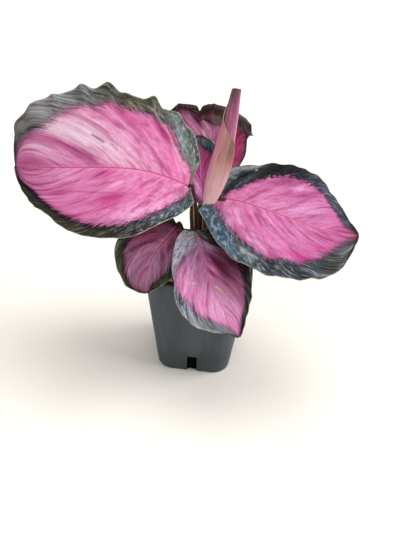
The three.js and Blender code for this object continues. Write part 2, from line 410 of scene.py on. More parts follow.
def vein_start(share, across):
    """Where on the midrib the side vein through a point began. Veins fan out, then run at a steady slant."""
    reach = np.abs(across)
    slant = FAN * (STEADY_FROM - FAN_CENTRE)
    steady = share - slant * reach
    in_fan = np.maximum(reach - np.maximum(share - STEADY_FROM, 0) / slant, 0)
    fanned = (np.minimum(share, STEADY_FROM) - FAN_CENTRE) * np.exp(-FAN * in_fan) + FAN_CENTRE
    return np.where(steady > STEADY_FROM, steady, fanned)


starts = vein_start(np.full(3, 0.5), np.array([0, 0.5, 1]))
print("half-way up, veins at the midrib, mid-way out and at the margin began at", starts.round(2).tolist())

# %% [markdown]
# ## What each leaf looks like
# Some stains and creases are painted sheen, highlight or shade; each is noted where it stands.
#
# Leaves of one plant differ, so each has looks of its own, read off the photo. A pair of values or
# lists is for the left and the right half, as seen from the petiole. A list runs from base to tip.
#
# - rib: how far the midrib strays to the left. rib_tint: its colour, and how strongly it shows.
# - scallop: widths against the plain solid. wave: height, number and start of the margin's waves.
# - pleats: folds from one (share, across) to another, with their height and width in millimetres.
# - ears: how far the base lobes reach back beyond the plain solid's, in millimetres.
# - centre: how far out the pink reaches, where 1 is the margin. feather: how far its streaks fray into the
#   border, in millimetres. band: how dark the border is.
# - margin, silver: the margin's colours, and its silver flecks, partly the leaf's own and partly a painted sheen.
#   pink, depth: the pink's colours, and what dims them.
# - lively: how strongly fine streaks show in the pink.
# - stains, margin_stains, under_stains: patches drawn out along the side veins, as (share, across, width,
#   length, colour, strength). A pair as the width is the reach towards the base and towards the tip.
# - creases: thin marks from one (share, across) to another, with width in millimetres, colour and strength.
# - under, under_dark: the underside's colours, and how dark its margin is. rim_show: how pale the edge is.
# - curl: a rolled-over tip. Its fold line, radius and hang are listed against the offset from the midrib.

# %% Usual looks
USUAL = dict(
    rib=[0.0] * 5, ears=(0, 0), pleats=[], curl=None, band=(1.0, 1.0), lively=0.9, margin_stains=[], creases=[],
    under=("#4c1a30", "#4c1a30"), under_dark=(0.75, 0.75), under_stains=[], rim_show=1.0)
LOOKS = {}

# %% [markdown]
# The largest leaf leans towards the light. Its upper margin is ruffled, a pale blaze of painted sheen crosses its
# upper half, and a painted highlight runs along a fold of that margin. Two dark scratches and a long red fold mark
# its face.

# %% Looks of blade_large_left
LOOKS["large_left"] = dict(
    rib=[-0.04, -0.035, 0.03, 0.09, 0.1], rib_tint=("#c94c74", 0.75),
    scallop=dict(left=[1.0, 0.98, 1.0, 0.96, 0.97, 1.0, 1.01, 1.02, 1.01, 1.01, 1.0, 1.0, 1.0, 1.0, 1.0, 0.97,
                       0.96, 0.98, 1.03, 1.08, 1.15],
                 right=[1.15, 0.95, 1.01, 1.0, 0.99, 0.94, 1.01, 0.95, 0.93, 0.96, 1.01, 0.95, 0.98, 0.97, 0.95,
                        1.0, 0.98, 0.99, 1.02, 1.05, 1.0]),
    wave=dict(left=(0.9, 5, 0.2), right=(2.0, 9.5, 0.45)),
    pleats=[
        (0.3, -0.62, 0.5, -0.97, 1.0, 2.5), (0.25, -0.45, 0.14, -0.92, 1.0, 3.0),
        (0.72, 0.5, 0.2, 0.38, -0.9, 2.2), (0.5, -0.03, 0.78, -0.5, -1.0, 3.0),
        (0.62, 0.62, 0.4, 0.2, -0.5, 3.0)],
    centre=dict(left=[0.45, 0.64, 0.72, 0.78, 0.83, 0.82, 0.81, 0.8, 0.74, 0.62, 0.8],
                right=[0.5, 0.52, 0.75, 0.78, 0.8, 0.78, 0.76, 0.74, 0.61, 0.62, 0.6]),
    feather=dict(left=[5, 5, 4, 4, 3, 3], right=[4, 4, 6, 6, 6, 4]), band=(1.05, 0.35),
    margin=dict(left=["#64757d", "#56656c", "#3c3e3a", "#38392c", "#2e3028", "#3a342c"],
                right=["#78847c", "#788079", "#7a7864", "#767b7c", "#a09ea2", "#3a3d35"]),
    silver=dict(left=[0.8, 0.7, 0.3, 0.15, 0.1, 0.1], right=[0.8, 0.7, 0.25, 0.6, 0.9, 0.1]),
    pink=["#f090c4", "#e787bb", "#df80b4", "#dc80b3", "#cc78a8"], depth=0.86,
    stains=[
        (0.1, -0.22, 0.06, 0.2, "#f27fbb", 0.6), (0.22, -0.65, 0.025, 0.1, "#c63c90", 0.85),
        (0.39, -0.64, 0.022, 0.12, "#cc4492", 0.85), (0.4, -0.45, 0.05, 0.25, "#ee8ac2", 0.6),
        # The pale patch 0.67 of the way up is painted sheen, where the upper half faces the light.
        (0.67, -0.43, (0.17, 0.055), 0.36, "#fbdcf0", 1.0), (0.39, -0.12, 0.07, 0.12, "#f6bcdc", 0.7),
        (0.61, -0.18, (0.016, 0.045), 0.25, "#a4467a", 0.9), (0.9, -0.58, 0.02, 0.1, "#b0508a", 0.7),
        (0.79, -0.21, 0.06, 0.13, "#f6bade", 0.85), (0.84, -0.39, 0.03, 0.08, "#9c5a80", 0.6),
        (0.89, -0.12, 0.08, 0.1, "#bd5690", 0.8), (0.76, -0.1, 0.03, 0.1, "#dc84b4", 0.5),
        (0.1, 0.44, 0.04, 0.25, "#f79fd0", 0.7), (0.31, 0.65, 0.04, 0.12, "#f0aed8", 0.7),
        (0.42, 0.48, 0.04, 0.12, "#cc4690", 0.8), (0.43, 0.42, 0.04, 0.08, "#b42f78", 0.85),
        (0.64, 0.79, 0.06, 0.06, "#b4457e", 0.75), (0.66, 0.59, 0.03, 0.14, "#d878b2", 0.6),
        (0.39, 0.22, 0.035, 0.1, "#f4a6d2", 0.7), (0.71, 0.48, 0.035, 0.12, "#bc4a8a", 0.85),
        (0.48, 0.08, 0.05, 0.07, "#ca4a90", 0.85), (0.71, 0.17, 0.05, 0.1, "#eaa6ce", 0.75),
        (0.81, 0.36, 0.03, 0.1, "#be6098", 0.7), (0.72, 0.04, 0.04, 0.07, "#e298c6", 0.6),
        (0.94, 0.08, 0.08, 0.12, "#b0467e", 0.9), (0.21, 0.25, 0.05, 0.16, "#f596cb", 0.5),
        (0.38, 0.77, 0.03, 0.07, "#b0568c", 0.8), (0.06, 0.39, 0.03, 0.12, "#f4b0d4", 0.8),
        (0.44, -0.55, 0.03, 0.1, "#f6a8da", 0.7), (0.81, 0.13, 0.05, 0.06, "#f0a8d2", 0.7),
        (0.86, -0.38, 0.035, 0.1, "#f8c4e2", 0.9), (0.86, 0.47, 0.03, 0.07, "#a03a6c", 0.8),
        (0.27, -0.81, 0.02, 0.05, "#3a1c30", 0.9), (0.33, -0.57, 0.02, 0.1, "#d0549c", 0.6)],
    margin_stains=[
        (0.86, -0.66, 0.05, 0.09, "#121014", 1.0), (0.93, -0.46, 0.06, 0.08, "#1a1a19", 0.95),
        (0.88, -0.86, 0.05, 0.1, "#6c6e6a", 0.7), (0.92, -0.99, 0.05, 0.06, "#4a4b3c", 0.8),
        (0.02, -0.94, 0.04, 0.08, "#3a3530", 0.85), (0.7, -0.86, 0.025, 0.06, "#57504c", 0.7),
        (0.27, -0.8, 0.026, 0.07, "#2a1c26", 0.9), (0.48, -0.9, 0.02, 0.06, "#4a4440", 0.8),
        (0.65, -0.83, 0.02, 0.1, "#8f9190", 0.7), (0.13, -0.71, 0.012, 0.2, "#94a3a8", 0.8),
        (0.4, -0.96, 0.05, 0.07, "#3f3e2b", 0.85), (0.68, -0.76, 0.02, 0.08, "#6a5560", 0.7),
        (0.14, 0.76, 0.03, 0.25, "#717683", 0.8), (0.31, 0.97, 0.09, 0.14, "#16170f", 0.95),
        (0.2, 0.99, 0.05, 0.06, "#34383a", 0.8), (0.63, 0.95, 0.1, 0.1, "#3e3828", 0.85),
        (0.95, 0.71, 0.05, 0.1, "#1d1f1b", 0.85), (0.15, 0.64, 0.015, 0.1, "#3c4a54", 0.7)],
    creases=[
        (0.84, 0.56, 0.6, 0.37, 0.6, "#b4406f", 0.7), (0.6, 0.37, 0.42, 0.355, 0.6, "#b4406f", 0.75),
        (0.42, 0.355, 0.19, 0.42, 0.6, "#b84674", 0.6), (0.265, 0.33, 0.283, 0.06, 1.6, "#be5591", 0.5),
        (0.56, -0.4, 0.5, -0.31, 0.55, "#08040a", 1.0), (0.465, -0.3, 0.43, -0.23, 0.5, "#3c2c38", 0.6),
        # The four pale lines from here on are a painted highlight along the ridge of a fold in the upper margin.
        (0.31, -0.87, 0.22, -0.74, 0.7, "#c9c6b8", 0.7), (0.22, -0.74, 0.16, -0.605, 0.7, "#cfc9bd", 0.8),
        (0.16, -0.605, 0.09, -0.43, 0.7, "#d6c3c4", 0.8), (0.09, -0.43, 0.02, -0.2, 0.7, "#d9b6bd", 0.6)])

# %% [markdown]
# The second leaf is broad and nearly flat. Its margin is almost black above and blue grey below, and one base
# lobe stands up in front of its petiole, with a painted highlight on it and painted shade at its foot.

# %% Looks of blade_right
LOOKS["right"] = dict(
    rib=[0.11, 0.055, -0.01, -0.085, -0.05], rib_tint=("#c4456f", 0.8), ears=(11, 8),
    scallop=dict(left=[1.3, 1.15, 1.04, 0.99, 0.96, 0.98, 1.01, 1.02, 1.01, 1.0, 0.99, 0.99, 0.99, 1.0, 1.01,
                       1.0, 1.0, 1.02, 0.92, 0.7, 0.8],
                 right=[1.0, 0.97, 1.0, 1.01, 1.0, 1.0, 0.99, 1.0, 1.01, 1.02, 1.0, 0.99, 1.0, 1.0, 1.01, 1.03,
                        1.04, 1.04, 0.96, 0.8, 0.9]),
    wave=dict(left=(0.6, 4, 0.3), right=(1.1, 6.5, 0.1)),
    pleats=[
        (0.04, 0.58, 0.19, 0.93, -1.4, 2.5), (0.35, -0.75, 0.55, -0.95, 0.9, 2.5),
        (0.22, -0.05, 0.42, -0.5, -0.5, 2.5), (0.4, 0.1, 0.62, 0.6, -0.6, 3.0)],
    centre=dict(left=[0.15, 0.34, 0.57, 0.69, 0.74, 0.72, 0.74, 0.73, 0.6, 0.26, 0.1],
                right=[0.4, 0.6, 0.65, 0.7, 0.78, 0.74, 0.72, 0.62, 0.45, 0.3, 0.2]),
    feather=dict(left=[3, 5, 6, 6, 6, 5], right=[4, 4, 4, 5, 8, 5]), band=(1.0, 0.55),
    margin=dict(left=["#5f6e76", "#12171d", "#10131b", "#2c3444", "#434c5a", "#3f3c40"],
                right=["#4c6072", "#4e5e6a", "#40464f", "#3a404a", "#3c3f3c", "#3a3436"]),
    silver=dict(left=[0.35, 0.04, 0.04, 0.4, 0.7, 0.3], right=[0.7, 0.75, 0.6, 0.5, 0.7, 0.3]),
    pink=["#e88fc2", "#dd80b5", "#d97db4", "#d578b0", "#c65a94"], depth=0.8,
    stains=[
        (0.45, 0.63, 0.05, 0.12, "#ae4286", 0.85), (0.56, 0.47, 0.03, 0.15, "#b04a8c", 0.85),
        (0.26, 0.39, 0.03, 0.2, "#cf64a4", 0.6), (0.53, 0.58, 0.025, 0.1, "#e29acb", 0.7),
        (0.59, 0.23, 0.09, 0.14, "#e4a6d4", 0.75), (0.67, 0.18, 0.03, 0.08, "#c474b0", 0.7),
        (0.08, 0.05, 0.04, 0.1, "#df6aa4", 0.7), (0.3, 0.08, 0.06, 0.1, "#ee8ec6", 0.5),
        (0.57, 0.35, 0.03, 0.1, "#cc6cab", 0.6), (0.1, -0.47, 0.025, 0.15, "#e0a8d0", 0.7),
        (0.23, -0.25, 0.035, 0.12, "#cb5298", 0.85), (0.36, -0.14, 0.05, 0.1, "#f096d4", 0.8),
        (0.38, -0.43, 0.04, 0.14, "#f28ece", 0.7), (0.3, -0.62, 0.03, 0.1, "#eca6d6", 0.8),
        (0.59, -0.64, 0.045, 0.09, "#d63e98", 0.9), (0.71, -0.42, 0.06, 0.06, "#d6469a", 0.85),
        (0.43, -0.09, 0.03, 0.08, "#c9569a", 0.8), (0.7, -0.2, 0.05, 0.08, "#c05494", 0.75),
        (0.76, -0.06, 0.06, 0.08, "#c25096", 0.7), (0.85, 0.03, 0.06, 0.06, "#b43878", 0.9),
        (0.16, -0.34, 0.03, 0.14, "#f0a4d2", 0.5), (0.19, 0.53, 0.03, 0.07, "#7c2a5c", 0.85),
        (0.34, 0.57, 0.035, 0.07, "#a63c7c", 0.8), (0.08, -0.6, 0.03, 0.06, "#b79ac0", 0.7),
        (0.71, -0.5, 0.02, 0.05, "#6a3a58", 0.8), (0.92, 0.05, 0.06, 0.07, "#7e2e5c", 0.85),
        (0.35, -0.55, 0.025, 0.1, "#f4b0dc", 0.7), (0.66, -0.54, 0.03, 0.05, "#c4508f", 0.7),
        (0.57, -0.17, 0.04, 0.1, "#e8a2ce", 0.5)],
    margin_stains=[
        (0.07, 0.97, 0.014, 0.3, "#9aa8ac", 0.95), (0.1, 0.67, 0.018, 0.4, "#090d12", 0.95),
        (0.39, 0.92, 0.07, 0.14, "#0c0f14", 0.9), (0.63, 0.89, 0.04, 0.1, "#191a26", 0.85),
        (0.76, 0.82, 0.03, 0.12, "#6c6888", 0.7), (0.15, 0.94, 0.02, 0.06, "#b0b6b4", 0.8),
        (0.94, -0.73, 0.05, 0.1, "#b0b0bc", 0.85), (0.28, -0.81, 0.012, 0.07, "#c4ccd2", 0.85),
        (0.22, -0.75, 0.016, 0.07, "#343a42", 0.85), (0.25, -0.66, 0.02, 0.06, "#1c2226", 0.85),
        (0.16, -0.81, 0.02, 0.25, "#4d6e86", 0.7), (0.55, -0.88, 0.02, 0.12, "#2a2d31", 0.8),
        (0.64, -0.79, 0.03, 0.12, "#34353a", 0.7), (0.71, -0.95, 0.02, 0.05, "#8f9ba5", 0.7),
        (0.75, -0.53, 0.03, 0.05, "#1b1d20", 0.9), (0.87, -0.52, 0.03, 0.06, "#6e7893", 0.7),
        (0.94, -0.32, 0.04, 0.05, "#7b8794", 0.7)],
    creases=[
        # The first crease is the dark border at the lobe's foot, partly its own near-black and partly painted shade;
        # the second is a painted highlight, a gloss dot.
        (0.0, 0.2, 0.02, 0.9, 2.6, "#171114", 0.9), (0.15, 0.84, 0.155, 0.85, 0.9, "#e8eef0", 0.95),
        (0.1, 0.84, 0.13, 0.8, 0.7, "#05070a", 0.9)])

# %% [markdown]
# This leaf hangs over the front of the pot. A large wine-red patch of painted shade fills its half that lies in
# shade, its other margin is silvery, and three small scars on it have healed straw-coloured.

# %% Looks of blade_lower_front
LOOKS["lower_front"] = dict(
    rib=[0.0, -0.06, -0.1, -0.08, 0.05], rib_tint=("#cf6f9f", 0.5),
    scallop=dict(left=[1.0] * 8 + [1.03, 1.02, 1.0] + [1.0] * 8 + [1.05, 1.0],
                 right=[0.95, 0.98, 0.99, 0.97, 0.98, 1.0, 1.0, 0.99, 0.98, 0.98, 1.0, 1.0, 1.01, 1.0, 0.98,
                        1.01, 1.02, 1.0, 0.9, 0.8, 0.9]),
    wave=dict(left=(0.5, 4, 0.3), right=(0.7, 5, 0.0)),
    pleats=[(0.1, -0.1, 0.45, -0.8, -0.5, 3.0), (0.3, 0.05, 0.6, 0.6, 0.5, 3.0)],
    centre=dict(left=[0.05, 0.2, 0.5, 0.68, 0.74, 0.76, 0.74, 0.75, 0.73, 0.56, 0.6],
                right=[0.0, 0.1, 0.36, 0.8, 0.96, 0.9, 0.76, 0.68, 0.52, 0.34, 0.2]),
    feather=dict(left=[4, 5, 4, 3, 3, 2], right=[5, 5, 3, 3, 4, 2]), band=(0.8, 0.35),
    margin=dict(left=["#343f30", "#33252a", "#2a2226", "#26252a", "#25242a", "#302b32"],
                right=["#9c95a2", "#aea6b6", "#8c8797", "#858a98", "#84898f", "#a09cb0"]),
    silver=dict(left=[0.3, 0.1, 0.2, 0.4, 0.5, 0.2], right=[0.8, 0.8, 0.8, 0.8, 0.9, 0.3]),
    pink=["#9d7f99", "#b47da3", "#d088b6", "#d68cba", "#cc7cac"], depth=0.96, lively=1.25,
    stains=[
        # The first two stains are painted shade, on the half that lies in shade.
        (0.4, 0.36, 0.13, 0.34, "#6c2444", 0.95), (0.36, 0.64, 0.06, 0.22, "#4a1c2c", 0.9),
        (0.16, 0.22, 0.05, 0.12, "#c498ba", 0.8), (0.29, 0.14, 0.03, 0.06, "#da74ac", 0.8),
        (0.14, -0.14, 0.03, 0.08, "#c8aac6", 0.8), (0.14, 0.09, 0.06, 0.08, "#94748c", 0.7),
        (0.38, 0.19, 0.04, 0.1, "#97366a", 0.8), (0.45, 0.13, 0.06, 0.05, "#b03672", 0.8),
        (0.7, 0.65, 0.03, 0.12, "#b06492", 0.6), (0.62, 0.38, 0.035, 0.12, "#cf92b8", 0.6),
        (0.74, 0.41, 0.025, 0.12, "#dca6c6", 0.6), (0.74, 0.22, 0.07, 0.12, "#cc86b4", 0.5),
        (0.08, -0.28, 0.05, 0.3, "#82809a", 0.9), (0.2, -0.21, 0.02, 0.15, "#70447c", 0.8),
        (0.28, -0.4, 0.02, 0.06, "#aa428a", 0.8), (0.27, -0.12, 0.05, 0.12, "#a84a82", 0.7),
        (0.43, -0.27, 0.04, 0.14, "#b25c92", 0.6), (0.49, -0.78, 0.04, 0.1, "#dd92c0", 0.8),
        (0.65, -0.51, 0.03, 0.1, "#da84b4", 0.6), (0.67, -0.23, 0.06, 0.12, "#e0a2c8", 0.7),
        (0.74, -0.06, 0.09, 0.1, "#dea8d0", 0.7), (0.38, 0.03, 0.06, 0.06, "#a83c74", 0.7),
        (0.25, -0.57, 0.012, 0.1, "#7e5470", 0.6), (0.66, -0.69, 0.022, 0.09, "#301830", 1.0),
        (0.78, -0.56, 0.022, 0.08, "#281c30", 1.0), (0.39, 0.15, 0.035, 0.08, "#ff9cd0", 0.85),
        (0.6, 0.5, 0.03, 0.08, "#d48eb6", 0.6), (0.5, 0.16, 0.03, 0.06, "#dc8ab8", 0.7),
        (0.56, 0.43, 0.03, 0.08, "#bf7aa2", 0.7), (0.53, -0.7, 0.03, 0.1, "#f4b8dc", 0.7),
        (0.74, -0.45, 0.02, 0.05, "#b47aa2", 0.7), (0.28, -0.72, 0.014, 0.12, "#5a2a44", 0.85)],
    margin_stains=[
        (0.26, -0.64, 0.02, 0.08, "#4a2040", 0.95), (0.64, -0.66, 0.018, 0.06, "#2c2430", 0.9),
        (0.79, -0.61, 0.026, 0.1, "#241a28", 1.0), (0.54, -0.87, 0.03, 0.08, "#2a1a2a", 0.95),
        (0.67, -0.69, 0.026, 0.1, "#281830", 1.0), (0.52, -0.88, 0.02, 0.05, "#4c3a4c", 0.8),
        (0.06, 0.3, 0.04, 0.12, "#a8989c", 0.85), (0.84, -0.77, 0.03, 0.08, "#5c5a66", 0.7),
        (0.82, 0.7, 0.02, 0.12, "#7c868e", 0.6), (0.69, 0.82, 0.03, 0.14, "#767f88", 0.45),
        (0.49, 0.82, 0.05, 0.2, "#161216", 0.85), (0.22, -0.84, 0.03, 0.2, "#a59db2", 0.6)],
    creases=[
        (0.46, -0.6, 0.48, -0.37, 0.8, "#cdaa8a", 0.75), (0.545, 0.09, 0.6, 0.17, 1.0, "#dcc488", 0.9),
        (0.6, 0.17, 0.635, 0.24, 0.8, "#c8b07a", 0.7)])

# %% [markdown]
# This small leaf hangs steeply in the shade of the largest. It is dull and dusky, with an olive margin and a
# fine net of paler veins.

# %% Looks of blade_lower_left
LOOKS["lower_left"] = dict(
    rib=[0.04, 0.07, 0.0, -0.05, -0.1], rib_tint=("#a03a68", 0.3),
    scallop=dict(left=[1.0] * 18 + [1.05, 1.1, 1.1],
                 right=[1.0] * 10 + [1.0, 1.02, 1.03, 1.02, 1.01, 1.01, 0.99, 1.03, 1.1, 1.0, 0.9]),
    wave=dict(left=(0.4, 4, 0.1), right=(0.5, 4, 0.5)), pleats=[(0.5, -0.62, 0.34, -0.08, -0.6, 2.0)],
    centre=dict(left=[0.3, 0.45, 0.56, 0.62, 0.63, 0.63, 0.62, 0.6, 0.52, 0.36, 0.5],
                right=[0.05, 0.22, 0.5, 0.72, 0.73, 0.73, 0.73, 0.72, 0.72, 0.76, 0.7]),
    feather=dict(left=[4, 4, 5, 5, 4, 2], right=[3, 3, 3, 3, 3, 2]),
    margin=dict(left=["#332f33", "#2f282d", "#34342e", "#363c2e", "#3e4530", "#4a4a2c"],
                right=["#2a2a28", "#343e2d", "#3c4631", "#3f4931", "#464c30", "#56572e"]),
    silver=dict(left=[0.2, 0.3, 0.5, 0.5, 0.2, 0.1], right=[0.1, 0.2, 0.3, 0.3, 0.2, 0.1]),
    pink=["#8f3f68", "#97506f", "#9c6385", "#a16f8f", "#9d6a88"], depth=0.9, lively=2.1,
    stains=[
        (0.3, -0.4, 0.12, 0.3, "#6e1f3c", 0.9), (0.26, -0.52, 0.03, 0.2, "#35161f", 0.85),
        (0.21, -0.16, 0.05, 0.09, "#5a2a50", 0.8), (0.07, -0.26, 0.05, 0.15, "#3c2230", 0.8),
        (0.64, -0.43, 0.03, 0.2, "#a8648e", 0.5), (0.75, -0.61, 0.025, 0.08, "#bd90b2", 0.7),
        (0.74, -0.37, 0.02, 0.12, "#6c3f60", 0.6), (0.78, -0.13, 0.025, 0.08, "#c2487c", 0.7),
        (0.81, -0.25, 0.03, 0.06, "#8c629e", 0.6), (0.11, 0.0, 0.06, 0.07, "#a8407a", 0.8),
        (0.32, 0.19, 0.05, 0.09, "#602340", 0.85), (0.48, 0.19, 0.02, 0.1, "#5a213e", 0.7),
        (0.34, 0.03, 0.05, 0.06, "#ad4878", 0.7), (0.6, 0.51, 0.05, 0.14, "#8e6a88", 0.8),
        (0.7, 0.44, 0.015, 0.12, "#553450", 0.7), (0.67, 0.25, 0.06, 0.1, "#b27c9e", 0.7),
        (0.75, 0.09, 0.06, 0.06, "#c27ea6", 0.7), (0.8, 0.56, 0.03, 0.07, "#75687e", 0.75),
        (0.44, 0.38, 0.03, 0.1, "#b592b6", 0.8), (0.38, -0.13, 0.04, 0.08, "#b4668e", 0.6),
        (0.51, -0.35, 0.04, 0.1, "#bc7ea4", 0.6), (0.6, -0.67, 0.03, 0.06, "#5c3c4c", 0.7),
        (0.08, -0.08, 0.04, 0.06, "#a0607c", 0.8), (0.66, 0.66, 0.03, 0.1, "#a88cae", 0.7),
        (0.1, -0.42, 0.04, 0.12, "#2a1a20", 0.8)],
    margin_stains=[
        (0.38, -0.63, 0.04, 0.3, "#1c1216", 0.9), (0.93, -0.84, 0.04, 0.1, "#4c5a37", 0.7),
        (0.97, -0.56, 0.05, 0.03, "#cbbd9f", 0.8), (1.02, -0.36, 0.06, 0.03, "#d8c6ae", 0.8),
        (0.99, 0.45, 0.08, 0.03, "#9c9468", 0.8), (0.84, 0.58, 0.04, 0.06, "#6c6472", 0.7)],
    creases=[(0.57, -0.6, 0.46, -0.36, 1.2, "#3f2338", 0.8), (0.46, -0.36, 0.36, -0.14, 1.0, "#4a2840", 0.7)])

# %% [markdown]
# The tip of this upright leaf has dried. It is rolled over towards the viewer along a ragged fold, so the
# brown underside shows there. curl says where the fold is at each distance from the midrib.

# %% Looks of blade_rear
LOOKS["rear"] = dict(
    rib_tint=("#b06a8a", 0.5),
    scallop=dict(left=[1.0] * 14 + [0.97, 0.9, 0.76, 0.5, 0.38, 0.25, 0.2],
                 right=[1.0] * 8 + [1.0, 0.97, 1.0, 1.01, 0.94, 0.95, 0.95, 1.0, 0.96, 0.98, 0.4, 0.35, 0.3]),
    wave=dict(left=(1.2, 6, 0.3), right=(1.4, 7, 0.0)),
    curl=dict(offset=[-36, -33.5, -27, -20, -13, -7, 0, 5, 9.5, 12, 14.5, 19, 30, 35, 42],
              fold=[42, 46, 54, 58, 62, 63.4, 64.6, 64.4, 62.8, 58.5, 62.8, 63.4, 63.8, 59, 54],
              radius=[1.6, 2, 2.4, 2.6, 2.6, 2.4, 2.4, 2.4, 2.2, 1.8, 2.2, 2.4, 2.4, 2.2, 2],
              hang=[0.1, 0.25, 0.85, 1, 1, 1, 0.95, 0.85, 0.6, 0.35, 0.35, 0.35, 0.3, 0.3, 0.3]),
    centre=dict(left=[0.5, 0.7, 0.78, 0.8, 0.82, 0.84, 0.85, 0.85, 0.6, 0.2, 0.0],
                right=[0.6, 0.75, 0.9, 0.94, 0.95, 0.92, 0.84, 0.72, 0.5, 0.2, 0.0]),
    feather=dict(left=[2, 2, 2, 3, 4, 4], right=[2, 2, 2, 3, 4, 4]),
    margin=dict(left=["#4a3a46", "#4a3a44", "#403036", "#3c2a2e", "#33201f", "#281c1a"],
                right=["#54424f", "#6c5662", "#8a7078", "#554a4a", "#3e2b2b", "#2b1e1c"]),
    silver=dict(left=[0.3, 0.2, 0.1, 0.1, 0.0, 0.0], right=[0.4, 0.3, 0.2, 0.2, 0.1, 0.0]),
    pink=["#a84a7c", "#b05484", "#cc7aa6", "#d68eb6", "#8a3050"], depth=0.95,
    stains=[
        (0.5, 0.2, 0.03, 0.06, "#ecd0dc", 0.9), (0.4, -0.7, 0.2, 0.25, "#c03272", 0.9),
        (0.4, 0.6, 0.1, 0.2, "#c87ba6", 0.6), (0.52, 0.0, 0.03, 0.1, "#d884b2", 0.7),
        (0.62, 0.36, 0.03, 0.12, "#3a1626", 0.95), (0.57, 0.12, 0.04, 0.08, "#f0aed2", 0.6),
        (0.62, -0.75, 0.05, 0.15, "#a03264", 0.7)],
    under=("#6e2436", "#746868"), under_dark=(0.5, 0.3),
    under_stains=[(0.84, 0.28, 0.04, 0.16, "#8a2c48", 0.8), (0.8, 0.6, 0.03, 0.1, "#6a2438", 0.7)],
    rim_show=0.15)

# %% [markdown]
# Only the upper left of this small upright leaf shows, between its neighbours. It is plain, and darker towards
# its tip.

# %% Looks of blade_inner
LOOKS["inner"] = dict(
    rib_tint=("#a0568c", 0.4), scallop=dict(left=[1.0] * 21, right=[1.0] * 17 + [0.97, 1.0, 1.0, 1.0]),
    wave=dict(left=(0.3, 3, 0.2), right=(0.4, 3, 0.6)),
    centre=dict(left=[0.8, 0.92, 0.95, 0.85, 0.8, 0.8, 0.75, 0.6, 0.3, -0.1, -0.3],
                right=[0.5, 0.7, 0.8, 0.8, 0.8, 0.75, 0.65, 0.5, 0.2, -0.2, -0.3]),
    feather=dict(left=[2, 2, 2, 3, 4, 4], right=[2, 2, 2, 3, 4, 4]),
    margin=dict(left=["#46404a", "#453c4a", "#3c3844", "#333640", "#3c424c", "#767e8c"],
                right=["#4a3048", "#4a2c44", "#3c3240", "#333640", "#3c424c", "#767e8c"]),
    silver=dict(left=[0.3] * 6, right=[0.3] * 6), pink=["#da88c2", "#c2609c", "#ae4a82", "#9c4070", "#8a3560"],
    depth=0.9,
    stains=[
        (0.22, 0.35, 0.1, 0.4, "#ffb0ec", 0.9), (0.6, -0.3, 0.08, 0.3, "#8c2f62", 0.7),
        (0.8, 0.02, 0.06, 0.15, "#5c2648", 0.8), (0.62, 0.3, 0.06, 0.25, "#a8326e", 0.8),
        (0.45, 0.55, 0.04, 0.15, "#7a3a70", 0.7), (0.4, 0.1, 0.05, 0.1, "#b8448a", 0.7)])

# %% All looks
LOOKS = {name: {**USUAL, **look} for name, look in LOOKS.items()}
print("stains and creases:", {name: len(look["stains"] + look["margin_stains"] + look["creases"])
                              for name, look in LOOKS.items()})

# %% [markdown]
# ## The blade's finish
#
# The upper face is pink, breaks up along the veins into a near-black border, and ends in a dark green
# margin with silver flecks, partly the leaf's own and partly a painted sheen, and a thin pale edge. All of it is
# painted by noise that is stretched along the veins, over the tints that each leaf keeps on its mesh. The underside
# is burgundy.
#
# Each pattern is one noise. Its first three numbers say how fast it changes across the veins, along them
# and from leaf to leaf. The last two are the noise's detail and roughness.

# %% Patterns of the blade
MM_PER_CM = 10
SIDE_VEINS_PER_CM = 1.7
PATTERNS = {
    "broad": (1.6, 0.5, 3.0, 2.0, 0.55), "mottle": (2.9, 1.7, 11.0, 3.0, 0.65),
    "blotch": (2.4, 1.2, 7.0, 2.0, 0.5), "streak": (4.5, 1.0, 3.0, 2.0, 0.6),
    "flecks": (9.0, 2.2, 5.0, 3.0, 0.65), "fine": (11.0, 2.4, 3.0, 2.0, 0.6),
    "hair": (21.0, 3.0, 3.0, 1.0, 0.5), "speck": (26.0, 14.0, 3.0, 1.0, 0.5),
}


def vein_pattern(f, pattern):
    """One pattern, laid along the veins."""
    *stretch, detail, roughness = pattern
    return f.noise(f.scaled(f.stored("grain", 1), stretch), 1.0, detail, roughness)


def vein_ribbing(f):
    """0 on a side vein, rising to a half midway between two veins."""
    across_veins = f.part(f.stored("grain", 1), 0) * SIDE_VEINS_PER_CM
    return f.node("ShaderNodeMath", {"operation": "PINGPONG"}, {0: across_veins, 1: 0.5})


def from_midrib(f):
    """Distance from the midrib in millimetres."""
    return abs(f.part(f.stored("grain", 1), 1)) * MM_PER_CM


print(f"{len(PATTERNS)} patterns, and side veins {MM_PER_CM / SIDE_VEINS_PER_CM:.1f} mm apart")

# %% [markdown]
# The pink is built in layers. Each darkens or lightens the one below by multiplying it, so that every
# leaf keeps its own pink. A layer is weaker on the palest parts, which are calm on the real leaf.

# %% Pink of the upper face
# Multiplies a pink into a paler one, as where less red sap lies under the skin.
LIGHTER = (1.2, 1.75, 1.45, 1.0)
# Each layer: its pattern, where on it the layer starts and is full, what it multiplies by, how strong
# it is, and the stored value that weakens it.
PINK_LAYERS = [
    ("broad", 0.5, 0.66, linear("#c877a2"), 0.6, "calm"),
    ("broad", 0.46, 0.3, LIGHTER, 0.35, "calm"),
    ("mottle", 0.5, 0.66, linear("#c2709c"), 0.36, "calm"),
    ("mottle", 0.47, 0.34, LIGHTER, 0.36, "calm"),
    ("streak", 0.5, 0.3, linear("#d595b6"), 0.27, "lively"),
    ("streak", 0.55, 0.72, LIGHTER, 0.22, "lively"),
    ("hair", 0.53, 0.72, LIGHTER, 0.4, "lively"),
    ("fine", 0.46, 0.28, linear("#c98aaa"), 0.3, "lively"),
    ("speck", 0.5, 0.72, linear("#d8a3bd"), 0.5, "lively"),
]


